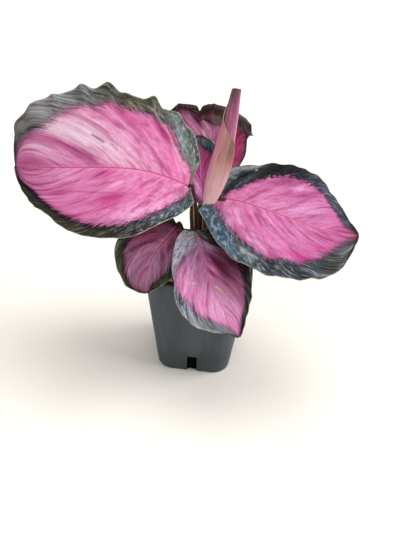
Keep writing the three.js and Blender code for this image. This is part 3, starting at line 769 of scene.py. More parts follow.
def pink_field(f, patterns, edge):
    """The pink with its layers, a darker line on each side vein and dark spikes at the border."""
    pink = f.stored("pink_tint", 0)
    for name, low, high, colour, strength, weakened_by in PINK_LAYERS:
        amount = f.step(patterns[name], low, high) * f.stored(weakened_by) * strength
        pink = f.mix(pink, colour, amount, "MULTIPLY")
    on_vein = f.step(vein_ribbing(f), 0.07, 0.0) * f.step(patterns["broad"], 0.4, 0.6)
    pink = f.mix(pink, linear("#c4668f"), on_vein * 0.2, "MULTIPLY")
    spikes = f.step(patterns["hair"] * 0.6 + patterns["speck"] * 0.4, 0.5, 0.6)
    pink = f.mix(pink, linear("#34182a"), spikes * f.step(f.stored("centre"), 7.0, 0.0) * 0.75)
    return f.mix(pink, linear("#8a3a6c"), f.step(edge, 3.0, 0.0) * 0.55)

# %% Margin of the upper face
# How far each pattern frays the pink's edge, against the leaf's own feather.
FRAYING = {"streak": 1.5, "fine": 2.6, "hair": 2.2}


def frayed_edge(f, patterns):
    """Distance from the pink's edge in millimetres, positive inside, frayed along the veins."""
    feather = f.stored("feather")
    edge = f.stored("centre")
    for name, reach in FRAYING.items():
        edge = edge + (patterns[name] - 0.5) * feather * reach
    return edge


def margin_field(f, patterns, edge):
    """Dark and silver flecks, the silver partly a painted sheen, pinkish hairs near the pink, and a near-black band
    along the border.
    """
    flecks, hair, silver = patterns["flecks"], patterns["hair"], f.stored("silver")
    dark_specks = patterns["speck"] * 0.5 + hair * 0.5
    near_pink = f.step(f.stored("centre"), -6.0, 0.0)
    band = f.step(edge + (patterns["mottle"] - 0.5) * 6.0, -6.0, -1.5) * (0.9 - silver * 0.4)
    margin = f.stored("margin_tint", 0)
    margin = f.mix(margin, linear("#4c4a46"), f.step(flecks, 0.52, 0.34) * 0.7, "MULTIPLY")
    # Silver flecks: the leaf's own silvery feathering, and a painted sheen where the margin faces up to the light.
    margin = f.mix(margin, linear("#c3d0d6"), f.step(flecks, 0.52, 0.64) * silver * 0.6)
    margin = f.mix(margin, linear("#6c6c68"), f.step(dark_specks, 0.52, 0.4) * 0.6, "MULTIPLY")
    margin = f.mix(margin, linear("#97647f"), f.step(hair, 0.5, 0.64) * near_pink * 0.5)
    return f.mix(margin, linear("#2a2226"), band * f.stored("band"), "MULTIPLY")

# %% Upper face
LEAF_SHINE = 0.12


def with_midrib(f, leaf, in_pink):
    """Draw the midrib as a red line with a pale line along each side."""
    rib_widths = from_midrib(f) / f.stored("rib")
    on_rib = f.step(rib_widths, 1.0, 0.4) * f.stored("rib_show") * in_pink
    leaf = f.mix(leaf, f.stored("rib_tint", 0), on_rib)
    beside_rib = f.step(abs(rib_widths - 1.5), 0.7, 0.0)
    return f.mix(leaf, linear("#f7c0da"), beside_rib * in_pink * 0.15)


def with_pale_rim(f, leaf):
    """Draw the thin pale line along the very edge, broken here and there."""
    unbroken = f.step(f.noise(f.place(), 180.0, 2.0), 0.35, 0.6)
    on_rim = f.step(f.stored("rim"), 0.7, 0.3) * (0.2 + unbroken * 0.5)
    return f.mix(leaf, linear("#b1ae97"), on_rim * f.stored("rim_show"))


def blade_top_finish():
    f = Finish("blade_top")
    patterns = {name: vein_pattern(f, pattern) for name, pattern in PATTERNS.items()}
    edge = frayed_edge(f, patterns)
    in_pink = f.step(edge, -0.8, 0.8)
    leaf = f.mix(margin_field(f, patterns, edge), pink_field(f, patterns, edge), in_pink)
    leaf = with_pale_rim(f, with_midrib(f, leaf, in_pink))
    leaf = f.mix(leaf, linear("#2b1719"), f.stored("dried"))
    rough = 0.5 + (patterns["blotch"] - 0.5) * 0.25 - (1.0 - in_pink) * 0.14
    grooves = f.step(vein_ribbing(f), 0.0, 0.22) * 0.3
    height = grooves + patterns["streak"] * 0.6 + patterns["fine"] * 0.4 + patterns["speck"] * 0.15
    return f.surface(Base_Color=leaf, Roughness=rough, Normal=f.bump(height, 0.0005), Specular_IOR_Level=LEAF_SHINE)

# %% Underside and edge
UNDER_STREAK = (6.0, 0.8, 3.0, 3.0, 0.6)
UNDER_BROAD = (1.0, 0.5, 3.0, 2.0, 0.5)


def blade_under_finish():
    """Burgundy, darker at the margin, with a raised vein net and a slightly paler midrib."""
    f = Finish("blade_under")
    streak = vein_pattern(f, UNDER_STREAK)
    ribbing = vein_ribbing(f)
    at_margin = f.step(f.stored("centre"), 2.0, -3.0) * f.stored("under_dark")
    redder = f.step(vein_pattern(f, UNDER_BROAD), 0.4, 0.75) * 0.6
    colour = f.mix(f.stored("under_tint", 0), linear("#7d3352"), redder)
    colour = f.mix(colour, linear("#231b1a"), at_margin)
    colour = f.mix(colour, linear("#8a7c78"), f.step(streak, 0.5, 0.32) * 0.6, "MULTIPLY")
    colour = f.mix(colour, linear("#9c5a76"), f.step(ribbing, 0.07, 0.0) * 0.25)
    colour = f.mix(colour, linear("#9c5068"), f.step(from_midrib(f), 1.6, 0.9) * 0.15)
    colour = f.mix(colour, linear("#1d1311"), f.stored("dried"))
    height = f.step(ribbing, 0.2, 0.0) + streak * 0.4
    return f.surface(Base_Color=colour, Roughness=0.45, Normal=f.bump(height, 0.0004), Specular_IOR_Level=0.2)


def blade_edge_finish(name, dark, pale):
    f = Finish(name)
    colour = f.mottled(f.noise(f.place(), 220.0, 2.0), 0.3, 0.7, dark, pale)
    return f.surface(Base_Color=colour, Roughness=0.5)


faces = [blade_top_finish(), blade_under_finish()]
blade_finishes = faces + [blade_edge_finish("blade_edge", "#5c5d48", "#a8a68a")]
dry_finishes = faces + [blade_edge_finish("dry_edge", "#241a18", "#5a4740")]
print("finishes:", [m.name for m in blade_finishes])

# %% [markdown]
# ## Making the blades
#
# Every sheet and tube of this plant starts as a flat grid. Its points are then moved by a rule, all at
# once, as arrays. Values that a finish reads are kept on the mesh, one for each point.

# %% Grid helpers
def add_grid(name, rows, columns):
    """A flat grid, with each vertex's place on it as two arrays from -1 to 1."""
    start_fresh()
    bpy.ops.mesh.primitive_grid_add(x_subdivisions=rows, y_subdivisions=columns, size=2)
    piece = bpy.context.object
    piece.name = piece.data.name = name
    flat = np.empty(len(piece.data.vertices) * 3)
    piece.data.vertices.foreach_get("co", flat)
    flat = flat.reshape(-1, 3)
    return piece, flat[:, 0].copy(), flat[:, 1].copy()


def set_points(piece, points_mm):
    piece.data.vertices.foreach_set("co", (np.asarray(points_mm) * MM).ravel())
    piece.data.update()


def store(piece, name, kind, values):
    """Keep a value for each vertex, for a finish to read."""
    field = {"FLOAT": "value", "FLOAT_VECTOR": "vector", "FLOAT_COLOR": "color"}[kind]
    layer = piece.data.attributes.new(name, kind, "POINT")
    layer.data.foreach_set(field, np.asarray(values, float).ravel())

# %% [markdown]
# Each blade is one fine grid. Rows crowd towards the base and columns towards the midrib, where the shape
# changes fastest. Its relief has waves that keep to the margin, a soft quilt between the side veins, a slow
# corrugation across them, the leaf's own pleats and a groove along the midrib.

# %% Distances on a blade
HALVES = ("left", "right")


def bell(distance, width):
    """1 at no distance, 0.37 at the width and nearly 0 at twice the width."""
    return np.exp(-((distance / width) ** 2))


def line_distance(along, out, start, end):
    """Each point's distance from a straight line on the blade laid flat, and its share of the line's length."""
    points = np.stack([along, out], -1) - start
    stride = end - start
    share = np.clip(points @ stride / (stride @ stride), 0, 1)
    return np.linalg.norm(points - share[:, None] * stride, axis=1), share

# %% Relief of a blade
MARGIN_HUG = 3.5
FINER_WAVE_HEIGHT = 0.4
FINER_WAVES = 1.7
QUILT_INSIDE = 0.1
QUILT_OUTSIDE = 0.35
CORRUGATION = 0.6
CORRUGATION_LENGTH = 2.9
LONGEST_BLADE = 145
GROOVE_DEPTH = 0.4
GROOVE_WIDTH = 1.3


def margin_waves(look, share, across):
    """A slow and a fast wave on each half, which die away towards the midrib."""
    waves = []
    for size, count, start in (look["wave"][half] for half in HALVES):
        finer = np.sin(math.tau * (FINER_WAVES * count * share + start))
        waves.append(size * (np.sin(math.tau * (count * share + start)) + FINER_WAVE_HEIGHT * finer))
    return both_sides(across, *waves) * np.abs(across) ** MARGIN_HUG


def vein_relief(leaf, share, across):
    """The quilt and the corrugation, in millimetres."""
    reach = np.abs(across)
    vein = vein_start(share, across) * leaf["length"]
    quilt = (QUILT_INSIDE + QUILT_OUTSIDE * reach**1.5) * np.clip(reach * 4, 0, 1)
    quilt = quilt * np.sin(math.tau * SIDE_VEINS_PER_CM * vein / MM_PER_CM)
    corrugation = CORRUGATION * reach**2 * leaf["length"] / LONGEST_BLADE
    return quilt + corrugation * np.sin(vein / CORRUGATION_LENGTH + 1.0)


def pleat_relief(leaf, look, across, along, out):
    """The leaf's own folds, each highest half-way along and flat at its ends."""
    height = np.zeros(len(along))
    for share_a, across_a, share_b, across_b, size, width in look["pleats"]:
        half_width = np.mean(leaf["left" if across_a > 0 else "right"]["half"])
        ends = [np.array([share * leaf["length"], off * half_width])
                for share, off in ((share_a, across_a), (share_b, across_b))]
        distance, t = line_distance(along, out * np.sign(across), *ends)
        height = height + size * bell(distance, width) * np.sin(np.pi * np.clip(t, 0.08, 0.92))
    return height

# %% [markdown]
# One leaf's tip has died, dried and rolled over. Its sheet is led round a fold line: up to the line it
# runs on, then it turns through a little more than half a circle, and the rest hangs down in front.

# %% A dried, rolled-over tip
CURL_TURN = math.radians(205)
FLAP_CLEARANCE = 2.4
DRIED_REACH = 11.0
DRIED_FADE = 3.5
DRIED_OFFSETS = [-30, -8, 0, 30]
DRIED_AMOUNTS = [0.4, 0.7, 0.88, 0.95]


def along_fold(curl, key, offset):
    """One of the curl's lists, read at each point's offset from the midrib."""
    return np.interp(offset, curl["offset"], curl[key])


def roll_over(leaf, look, share, offset):
    """Where along the blade each point is led to, and how far it stands off the sheet."""
    curl = look["curl"]
    if curl is None:
        return share, 0 * share
    fold = along_fold(curl, "fold", offset) / leaf["length"]
    radius = along_fold(curl, "radius", offset)
    beyond = np.maximum(share - fold, 0) * leaf["length"]
    turn = np.minimum(beyond / radius, CURL_TURN)
    rest = (beyond - turn * radius) * along_fold(curl, "hang", offset)
    along = radius * np.sin(turn) + rest * np.cos(turn)
    lift = radius * (1 - np.cos(turn)) + rest * np.sin(turn)
    lift = np.maximum(lift, np.where(turn > np.pi / 2, FLAP_CLEARANCE, 0))
    return np.minimum(share, fold) + along / leaf["length"], lift


def dried(leaf, look, share, offset):
    """How dark and brown the sheet is: darkening towards the fold from below it, and dead and brown raggedly beyond
    it.
    """
    curl = look["curl"]
    if curl is None:
        return 0 * share
    past = share * leaf["length"] - along_fold(curl, "fold", offset)
    ragged = 1.6 * np.sin(offset / 2.3 + 1.0) + 1.2 * np.sin(offset / 1.1)
    before = 0.7 * bell(past, DRIED_FADE)
    beyond = bell(np.maximum(past - DRIED_REACH + ragged, 0), DRIED_FADE)
    return np.where(past < 0, before, beyond) * np.interp(offset, DRIED_OFFSETS, DRIED_AMOUNTS)

# %% Shape of a blade
LOBE_LENGTH = 0.18
LOBE_START = 0.03
EAR_LENGTH = 0.05
EAR_START = 0.004


def shoulders(leaf, look, share, across):
    """How far each point is drawn back past the base: round lobes, and ears on some leaves."""
    reach = np.abs(across)
    lobe = leaf["lobe"] * bell(share, LOBE_LENGTH) * np.minimum(1, share / LOBE_START) * reach**1.5
    ear = bell(share, EAR_LENGTH) * np.minimum(1, share / EAR_START) * reach**0.7
    return lobe + both_sides(across, *look["ears"]) * ear


def shape_blade(leaf, look, share, across):
    """Each point's place, and its place on the blade laid flat, in millimetres."""
    reach = np.abs(across)
    rib = smooth_value(look["rib"], share)
    place = rib + across * both_sides(across, 1 - rib, 1 + rib)
    least = STUB_HALF_WIDTH + (TIP_HALF_WIDTH - STUB_HALF_WIDTH) * share
    widths, angles = [], []
    for half in HALVES:
        scallop = 1 + (smooth_value(look["scallop"][half], share) - 1) * reach**3
        widths.append(np.maximum(outline_closing(share) * smooth_value(leaf[half]["half"], share) * scallop, least))
        angles.append(np.radians(leaf[half]["fold"] + leaf[half]["cup"] * reach / 2))
    angle = both_sides(across, *angles)
    out = both_sides(across, *widths) * reach
    level = both_sides(place, *widths) * place * np.cos(angle)
    shoulder = shoulders(leaf, look, share, across)
    along = share * leaf["length"] - shoulder
    height = out * np.sin(angle) + margin_waves(look, share, across) + vein_relief(leaf, share, across)
    groove = GROOVE_DEPTH * bell(out, GROOVE_WIDTH) * (1 - share)
    height = height + pleat_relief(leaf, look, across, along, out) - groove
    led, lift = roll_over(leaf, look, share, out * np.sign(across))
    forward, side, normal = blade_frame(leaf, led)
    points = midrib_points(leaf, led) - side * level[:, None]
    points = points + normal * (height + lift)[:, None] - forward * shoulder[:, None]
    return points, along, out

# %% Tints of a blade
def laid_over(colours, colour, weight):
    """Bring colours closer to one colour, by a weight for each point."""
    return colours + weight[:, None] * (np.array(linear(colour)) - colours)


def stained(colours, stains, share, across):
    """Lay stains over colours, each drawn out along the side veins and kept to its half."""
    for at, off, width, length, colour, strength in stains:
        vein = vein_start(share, across) - vein_start(at, off)
        before, after = width if isinstance(width, tuple) else (width, width)
        near = bell(vein, np.where(vein < 0, before, after)) * bell(np.abs(across) - abs(off), length)
        same_half = np.clip(0.5 + across * np.sign(off) * 12, 0, 1)
        colours = laid_over(colours, colour, near * same_half * strength)
    return np.clip(colours, 0, 1)


def creased(colours, leaf, look, along, signed_out):
    """Draw the blade's thin marks over colours: straight lines on the blade laid flat."""
    for share_a, across_a, share_b, across_b, width, colour, strength in look["creases"]:
        ends = []
        for share, across in ((share_a, across_a), (share_b, across_b)):
            half = leaf["left" if across > 0 else "right"]["half"]
            full = float(outline_closing(np.array(share)) * smooth_value(half, np.array(share)))
            ends.append(np.array([share * leaf["length"], across * full]))
        distance, _ = line_distance(along, signed_out, *ends)
        colours = laid_over(colours, colour, bell(distance, width) * strength)
    return colours


def sided(look, key, share, across):
    """A value that is listed from base to tip for each half."""
    return both_sides(across, *[smooth_value(look[key][half], share) for half in HALVES])


def tints(leaf, look, share, across, along, signed_out):
    """The margin's, the pink's and the underside's colour at each point."""
    margins = [smooth_value([linear(c) for c in look["margin"][half]], share) for half in HALVES]
    margin = np.where((across > 0)[:, None], *margins)
    pink = smooth_value([linear(c) for c in look["pink"]], share)
    margin = stained(margin, look["margin_stains"], share, across)
    pink = stained(pink, look["stains"], share, across) * look["depth"]
    margin, pink = (creased(colours, leaf, look, along, signed_out) for colours in (margin, pink))
    on_left = np.clip(0.5 + across * 2, 0, 1)[:, None]
    under = on_left * np.array(linear(look["under"][0])) + (1 - on_left) * np.array(linear(look["under"][1]))
    return margin, pink, stained(under, look["under_stains"], share, across)

# %% [markdown]
# The sheet gets its thickness from Solidify. A vertex group makes it thick under the midrib and thin
# elsewhere, which is how the rib stands out below. All that the finishes read is stored beforehand.

# %% Values that a blade's finishes read
PALE_FROM = 0.3
PALEST = 0.6
DARK_BELOW = 0.03


def ramp(value, start, end):
    """0 before the start, 1 after the end and a straight rise between. The end may be below the start."""
    return np.clip((value - start) / (end - start), 0, 1)


def border_distance(along, out, outline):
    """Distance in millimetres from each point to the blade's outline, on the blade laid flat."""
    points = np.stack([along, out], -1)
    nearest = np.full(len(points), np.inf)
    for corner in outline:
        nearest = np.minimum(nearest, ((points - corner) ** 2).sum(1))
    return np.sqrt(nearest)


def blade_values(name, share, across, along, signed_out, on_border):
    """Everything stored on a blade, by the kind of value and its name."""
    leaf, look = LEAVES[name], LOOKS[name]
    one = np.ones(len(share))
    full = np.abs(signed_out) / np.maximum(np.abs(across), 1e-3)
    outline = np.stack([along[on_border], signed_out[on_border]], -1)
    margin, pink, under = tints(leaf, look, share, across, along, signed_out)
    palest = ramp(pink[:, 1], PALE_FROM, PALEST)
    not_dark = np.clip(margin[:, 1] / DARK_BELOW, 0.15, 1)
    rib_colour, rib_show = look["rib_tint"]
    vein = vein_start(share, across) * leaf["length"]
    numbers = {
        "centre": (sided(look, "centre", share, across) - np.abs(across)) * np.maximum(full, 4),
        "rim": border_distance(along, signed_out, outline),
        "feather": sided(look, "feather", share, across),
        "silver": sided(look, "silver", share, across) * not_dark,
        "band": both_sides(across, *look["band"]) * one,
        "rib": 1.1 - 0.65 * share,
        "rib_show": rib_show * one,
        "rim_show": look["rim_show"] * one,
        "calm": 1 - 0.6 * palest,
        "lively": look["lively"] * (1 - 0.35 * palest),
        "dried": dried(leaf, look, share, signed_out),
        "under_dark": both_sides(across, *look["under_dark"]) * one,
    }
    vectors = {"grain": np.stack([vein / MM_PER_CM, signed_out / MM_PER_CM, np.sign(across) + len(name)], -1)}
    colours = {"margin_tint": margin, "pink_tint": pink, "under_tint": under,
               "rib_tint": np.outer(one, linear(rib_colour))}
    return {"FLOAT": numbers, "FLOAT_VECTOR": vectors, "FLOAT_COLOR": colours}

# %% Blades
BLADE_ROWS = 210
BLADE_COLUMNS = 140
ROW_CROWDING = 1.4
COLUMN_CROWDING = 1.25
RIB_THICKNESS = 2.0
RIB_WIDTH = 1.4
SHEET_THICKNESS = 0.45
TIP_RIB = 0.15


def solidify(piece, thickness, **settings):
    """Give a sheet its thickness, in millimetres, behind its upper face."""
    solid = piece.modifiers.new("thickness", "SOLIDIFY")
    solid.thickness = thickness * MM
    solid.offset = -1
    for key, value in settings.items():
        setattr(solid, key, value)


def thicken(piece, share, out):
    """Make the sheet thick under the midrib, less so towards the tip, and thin elsewhere."""
    rib = (RIB_THICKNESS - SHEET_THICKNESS) * (1 - share) + TIP_RIB
    thickness = SHEET_THICKNESS + rib * bell(out, RIB_WIDTH)
    group = piece.vertex_groups.new(name="thickness")
    for index, value in enumerate(thickness / RIB_THICKNESS):
        group.add([index], float(min(value, 1.0)), "REPLACE")
    solidify(piece, RIB_THICKNESS, vertex_group="thickness", material_offset=1, material_offset_rim=2)


def build_blade(name):
    piece, x, y = add_grid(f"blade_{name}", BLADE_ROWS, BLADE_COLUMNS)
    share = ((x + 1) / 2) ** ROW_CROWDING
    across = np.sign(y) * np.abs(y) ** COLUMN_CROWDING
    points, along, out = shape_blade(LEAVES[name], LOOKS[name], share, across)
    set_points(piece, points)
    on_border = np.isclose(np.abs(y), 1)
    for kind, values in blade_values(name, share, across, along, out * np.sign(across), on_border).items():
        for key, value in values.items():
            store(piece, key, kind, value)
    thicken(piece, share, out)
    finish_piece(piece, [f"blade_{name}"], dry_finishes if LOOKS[name]["curl"] else blade_finishes)
    apply_modifiers(piece)
    piece.vertex_groups.clear()


for name in LEAVES:
    build_blade(name)

# %% [markdown]
# ## Petioles
#
# Each blade stands on a petiole: a slim stalk that rises from the potting mix and ends in a swollen joint,
# the pulvinus, that turns the blade to the light. Its lower part is wrapped in a sheath, wider than
# the stalk, whose edge shows as a thin pale line. A grid is bent round into a tube along a smooth path,
# which lets the section be an oval that changes on the way up. A bevelled curve could only be round.

# %% Stalk finish
SHEATH_EDGE = -math.pi / 2


def petiole_finish():
    """Dark red, streaked with brown and green, with a pale line where the sheath ends."""
    f = Finish("petiole")
    grain = f.stored("grain", 1)
    stripes = f.noise(f.scaled(grain, (14.0, 0.6, 1.0)), 1.0, 3.0, 0.6)
    patches = f.noise(f.scaled(grain, (3.0, 1.0, 1.0)), 1.0, 2.0)
    greener = f.step(f.part(grain, 1), 0.0, 5.0) * f.step(stripes, 0.48, 0.36)
    on_edge = f.step(abs(f.part(grain, 0) - SHEATH_EDGE), 0.16, 0.05) * f.stored("sheath")
    colour = f.mottled(patches, 0.35, 0.7, "#1f0d10", "#54211f")
    colour = f.mix(colour, linear("#7a4a32"), f.step(stripes, 0.54, 0.74) * 0.6)
    colour = f.mix(colour, linear("#3d4034"), greener * 0.5)
    colour = f.mix(colour, linear("#cdb387"), on_edge)
    return f.surface(Base_Color=colour, Roughness=0.42, Normal=f.bump(stripes, 0.00025), Specular_IOR_Level=0.2)


petiole_material = petiole_finish()
print("petiole:", len(petiole_material.node_tree.nodes), "nodes in its finish")

# %% Petiole paths
SOIL_TOP = 95
SOCKET_DEPTH = 12
FIT_GAP = 0.3
COLLAR_HEIGHT = 8
PULVINUS_LENGTH = 6
STALK_RADIUS = 1.6
# How far the end lies below the blade's base and on along the midrib, where the stalk turns steeply or not.
STEEP_TURN = math.radians(60)
STEEP_END = (1.2, STALK_RADIUS)
FLAT_END = (1.0, 0.8)


def petiole_end(leaf, arrival):
    """Where the petiole meets the underside of the blade's base."""
    forward, _, normal = (v[0] for v in blade_frame(leaf, np.array([0.0])))
    turn = math.acos(float(np.clip(arrival @ forward, -1, 1)))
    below, onward = STEEP_END if turn > STEEP_TURN else FLAT_END
    return np.array(leaf["base"], float) - normal * below + forward * onward


def stalk_points(foot, end, arrival):
    """From the socket's floor, straight up through the mix, and over to the blade."""
    heights = (SOIL_TOP - SOCKET_DEPTH + FIT_GAP, SOIL_TOP, SOIL_TOP + COLLAR_HEIGHT)
    return [(*foot, height) for height in heights] + [end - arrival * PULVINUS_LENGTH, end]


def along_path(points, share):
    """Places on a smooth curve through the points, at shares of its length."""
    points = np.array(points, float)
    lengths = np.concatenate([[0], np.cumsum(np.linalg.norm(np.diff(points, axis=0), axis=1))])
    return smooth_value(points, np.interp(share, lengths / lengths[-1], np.linspace(0, 1, len(points))))


def unit(vectors):
    return vectors / np.linalg.norm(vectors, axis=-1, keepdims=True)

# %% Edit helpers
def edit_all():
    """Enter edit mode with everything selected."""
    bpy.ops.object.mode_set(mode="EDIT")
    bpy.ops.mesh.select_all(action="SELECT")


def face_outwards():
    """Turn all faces outwards and leave edit mode."""
    bpy.ops.mesh.select_all(action="SELECT")
    bpy.ops.mesh.normals_make_consistent(inside=False)
    bpy.ops.object.mode_set(mode="OBJECT")

# %% Petioles
STALK_ROWS = 60
STALK_SIDES = 40
STREAK_LENGTH = 8
SHEATH_FADE = 14
SHEATH_POWER = 0.7
SHEATH_DEPTH = 0.6
RIDGE_HEIGHT = 0.3
RIDGE_WIDTH = 0.12
PULVINUS_AT = 0.95
PULVINUS_REACH = 0.05
PULVINUS_SWELLING = 0.35


def build_stalk(name, points, sheath_width, sheath_top):
    """A tube along the points. The sheath's half-width and the height where it ends are in millimetres."""
    piece, x, y = add_grid(name, STALK_ROWS, STALK_SIDES)
    rows = len(np.unique(x.round(6)))
    row = np.rint((x + 1) / 2 * (rows - 1)).astype(int)
    share, angle = row / (rows - 1), y * math.pi
    path = along_path(points, np.linspace(0, 1, rows))
    heading = unit(np.gradient(path, axis=0))
    wide = unit(np.cross([0, 1, 0], heading))
    deep = np.cross(heading, wide)
    sheathed = np.clip((sheath_top - path[row, 2]) / SHEATH_FADE, 0, 1) ** SHEATH_POWER
    radius = STALK_RADIUS + PULVINUS_SWELLING * bell(share - PULVINUS_AT, PULVINUS_REACH)
    half_width = radius + (sheath_width - STALK_RADIUS) * sheathed
    half_depth = radius + (SHEATH_DEPTH + RIDGE_HEIGHT * bell(angle - SHEATH_EDGE, RIDGE_WIDTH)) * sheathed
    sideways = wide[row] * (half_width * np.cos(angle))[:, None]
    set_points(piece, path[row] + sideways + deep[row] * (half_depth * np.sin(angle))[:, None])
    store(piece, "sheath", "FLOAT", sheathed)
    store(piece, "grain", "FLOAT_VECTOR", np.stack([angle, share * STREAK_LENGTH, 0 * share + len(name)], -1))
    edit_all()
    bpy.ops.mesh.remove_doubles(threshold=1e-6)
    bpy.ops.mesh.fill_holes(sides=0)
    face_outwards()
    finish_piece(piece, [name], [petiole_material], angle=50)


SHEATHS = {
    "large_left": (4.0, 160), "right": (3.4, 176), "lower_front": (2.6, 125), "lower_left": (2.6, 125),
    "rear": (5.5, 168), "inner": (4.6, 168),
}
for name, leaf in LEAVES.items():
    arrival = direction(leaf["heading"], leaf["rise"])
    points = stalk_points(leaf["foot"], petiole_end(leaf, arrival), arrival)
    build_stalk(f"petiole_{name}", points, *SHEATHS[name])

# %% [markdown]
# ## The furled leaf
#
# A calathea's new leaf comes up rolled like a scroll, underside out. The outer half of the blade wraps the
# roll and its free margin runs down the front as a thin pale line. Above, the inner roll stands out of
# it. So it is a sheet again: a grid wound on a spiral round a slanting axis, where the sheet's outer end
# turns back towards the top.

# %% Furled leaf finish
def furled_finish():
    f = Finish("furled_blade")
    grain = f.stored("grain", 1)
    streak = f.noise(f.scaled(grain, (3.0, 0.5, 1.0)), 1.0, 3.0, 0.6)
    spots = f.noise(f.scaled(grain, (6.0, 3.0, 1.0)), 1.0, 2.0, 0.6)
    colour = f.mix(f.stored("tint", 0), linear("#f3d3cf"), f.step(streak, 0.52, 0.7) * 0.22)
    colour = f.mix(colour, linear("#b08a92"), f.step(streak, 0.45, 0.28) * 0.5, "MULTIPLY")
    colour = f.mix(colour, linear("#8c7a5a"), f.step(spots, 0.58, 0.74) * 0.3)
    return f.surface(Base_Color=colour, Roughness=0.45, Normal=f.bump(streak + spots * 0.4, 0.0004))


def pale_edge_finish():
    f = Finish("furled_edge")
    colour = f.mix(linear("#c9a588"), linear("#dcc9a2"), f.noise(f.place(), 150.0, 2.0))
    return f.surface(Base_Color=colour, Roughness=0.5)

# %% Shape of the furled leaf
FURLED_FOOT = (4.4, -4.8)
FURLED_AXIS = [(2.4, -4.4, 149.5), (5.2, -4, 166), (10.6, -3, 191), (14.6, -1.5, 216), (18.6, 0, 252)]
FURLED_RADII = [2.4, 5.6, 8.2, 8.2, 6.6, 5.2, 3.4]
LAYER_GAP = 0.9
LEAST_RADIUS = 0.3
TOP_SLANT = 0.55
# Where the outer margin stands, as an angle seen from above: 180 is left, 270 the front and 360 right.
MARGIN_SHARE = [0, 0.5, 0.58, 0.64, 0.69, 0.73, 0.78, 0.82, 0.9, 1]
MARGIN_ANGLE = [350, 352, 345, 325, 295, 262, 225, 190, 140, 100]
INNER_ANGLE = -430


def wind(up, angle, margin):
    """Places on the spiral. Each turn lies further in, and the open top slants down to the front."""
    radius = smooth_value(FURLED_RADII, up)
    radius = np.maximum(radius - LAYER_GAP * (margin - angle) / 360, radius * LEAST_RADIUS)
    turn = np.radians(angle + TURN)
    tilt = -TOP_SLANT * np.sin(turn) * ramp(up, 0.9, 1)
    return along_path(FURLED_AXIS, up) + radius[:, None] * np.stack([np.cos(turn), np.sin(turn), tilt], -1)


print("the new leaf is rolled", round((MARGIN_ANGLE[0] - INNER_ANGLE) / 360, 1), "times round")

# %% Tints of the furled leaf
def furled_tints(up, angle, margin):
    """A pale outer turn, lightest near its foot, where the pale is painted light, and the deep pink roll that stands
    out of it.
    """
    # The outer turn is lightened towards its foot as painted light.
    outer = laid_over(np.outer(np.ones(len(up)), linear("#ffdcd8")), "#b87a7a", ramp(up, 0, 0.55))
    outer = laid_over(outer, "#c9819a", bell(angle - 195, 35) * 0.8)
    outer = laid_over(outer, "#644c32", bell(angle - 315, 45) * bell(up - 0.62, 0.17))
    outer = laid_over(outer, "#a05c5d", ramp(up, 0.74, 0.8))
    roll = smooth_value([linear(c) for c in ("#974771", "#8c3561", "#6e2d50")], ramp(up, 0.82, 0.94))
    roll = laid_over(roll, "#bb7596", bell(angle + 10, 30))
    roll = laid_over(roll, "#4c3a2c", bell(angle + 165, 40) * 0.85)
    roll = laid_over(roll, "#463020", ramp(up, 0.94, 0.99) * 0.8)
    wrapped = ramp(angle - margin, -210, -180) * ramp(up, 0.86, 0.82)
    return roll + wrapped[:, None] * (outer - roll)

# %% Furled leaf
FURLED_ROWS = 130
FURLED_COLUMNS = 160
INTO_ROLL = 4


def build_furled():
    piece, x, y = add_grid("furled_leaf", FURLED_ROWS, FURLED_COLUMNS)
    up = (x + 1) / 2
    margin = np.interp(up, MARGIN_SHARE, MARGIN_ANGLE)
    angle = INNER_ANGLE + (margin - INNER_ANGLE) * (y + 1) / 2
    set_points(piece, wind(up, angle, margin))
    store(piece, "tint", "FLOAT_COLOR", furled_tints(up, angle, margin))
    store(piece, "grain", "FLOAT_VECTOR", np.stack([np.radians(angle) * 1.2, up * 10, 0 * up], -1))
    solidify(piece, SHEET_THICKNESS, material_offset_rim=1)
    finish_piece(piece, ["furled_leaf"], [furled_finish(), pale_edge_finish()])
    apply_modifiers(piece)


build_furled()
arrival = unit(np.subtract(FURLED_AXIS[1], FURLED_AXIS[0]))
points = stalk_points(FURLED_FOOT, FURLED_AXIS[0] + arrival * INTO_ROLL, arrival)
build_stalk("petiole_furled", points, 3.0, 135)

# %% [markdown]
# ## The pot
#
# A thin-walled nursery pot, injection moulded in dark grey plastic. Its plan is a square with large round
# corners that grows on the way up, with a small round at the foot, a rim band at the top and a notch in
# each side for drainage. It is drawn up as a potter would pull a wall: start from the flat base, then
# extrude and scale from one level to the next, outside up and inside down.

# %% Pot finish
def pot_finish():
    """Dark grey plastic with dust on it, darker near the foot."""
    f = Finish("pot_plastic")
    place = f.place()
    grain = f.noise(place, 2600.0, 2.0)
    flow = f.noise(f.scaled(place, (1.0, 1.0, 0.12)), 90.0, 2.0)
    dust = f.noise(place, 45.0, 4.0, 0.6)
    height = f.part(place, 2)
    splashed = f.step(height, 0.018, 0.0) * f.step(dust, 0.4, 0.62)
    colour = f.mottled(flow, 0.3, 0.7, "#353d42", "#40494f")
    colour = f.mix(colour, linear("#6f6c66"), f.step(dust, 0.58, 0.78) * 0.22)
    colour = f.mix(colour, linear("#77716a"), splashed * 0.12)
    colour = f.mix(colour, linear("#262c30"), f.step(height, 0.04, 0.012) * 0.5)
    rough = 0.42 + dust * 0.16
    return f.surface(Base_Color=colour, Roughness=rough, Normal=f.bump(grain, 0.00008), Specular_IOR_Level=0.3)


# Nearly black: soil where the faces touch the mix, and painted shade for the dark hollow seen through the notches.
def soil_and_shade_finish():
    f = Finish("soil_and_shade_plastic")
    crumbs = f.noise(f.place(), 400.0, 3.0, 0.6)
    colour = f.mottled(crumbs, 0.4, 0.75, "#0a0908", "#241c16")
    return f.surface(Base_Color=colour, Roughness=0.9, Normal=f.bump(crumbs, 0.0006), Specular_IOR_Level=0.1)

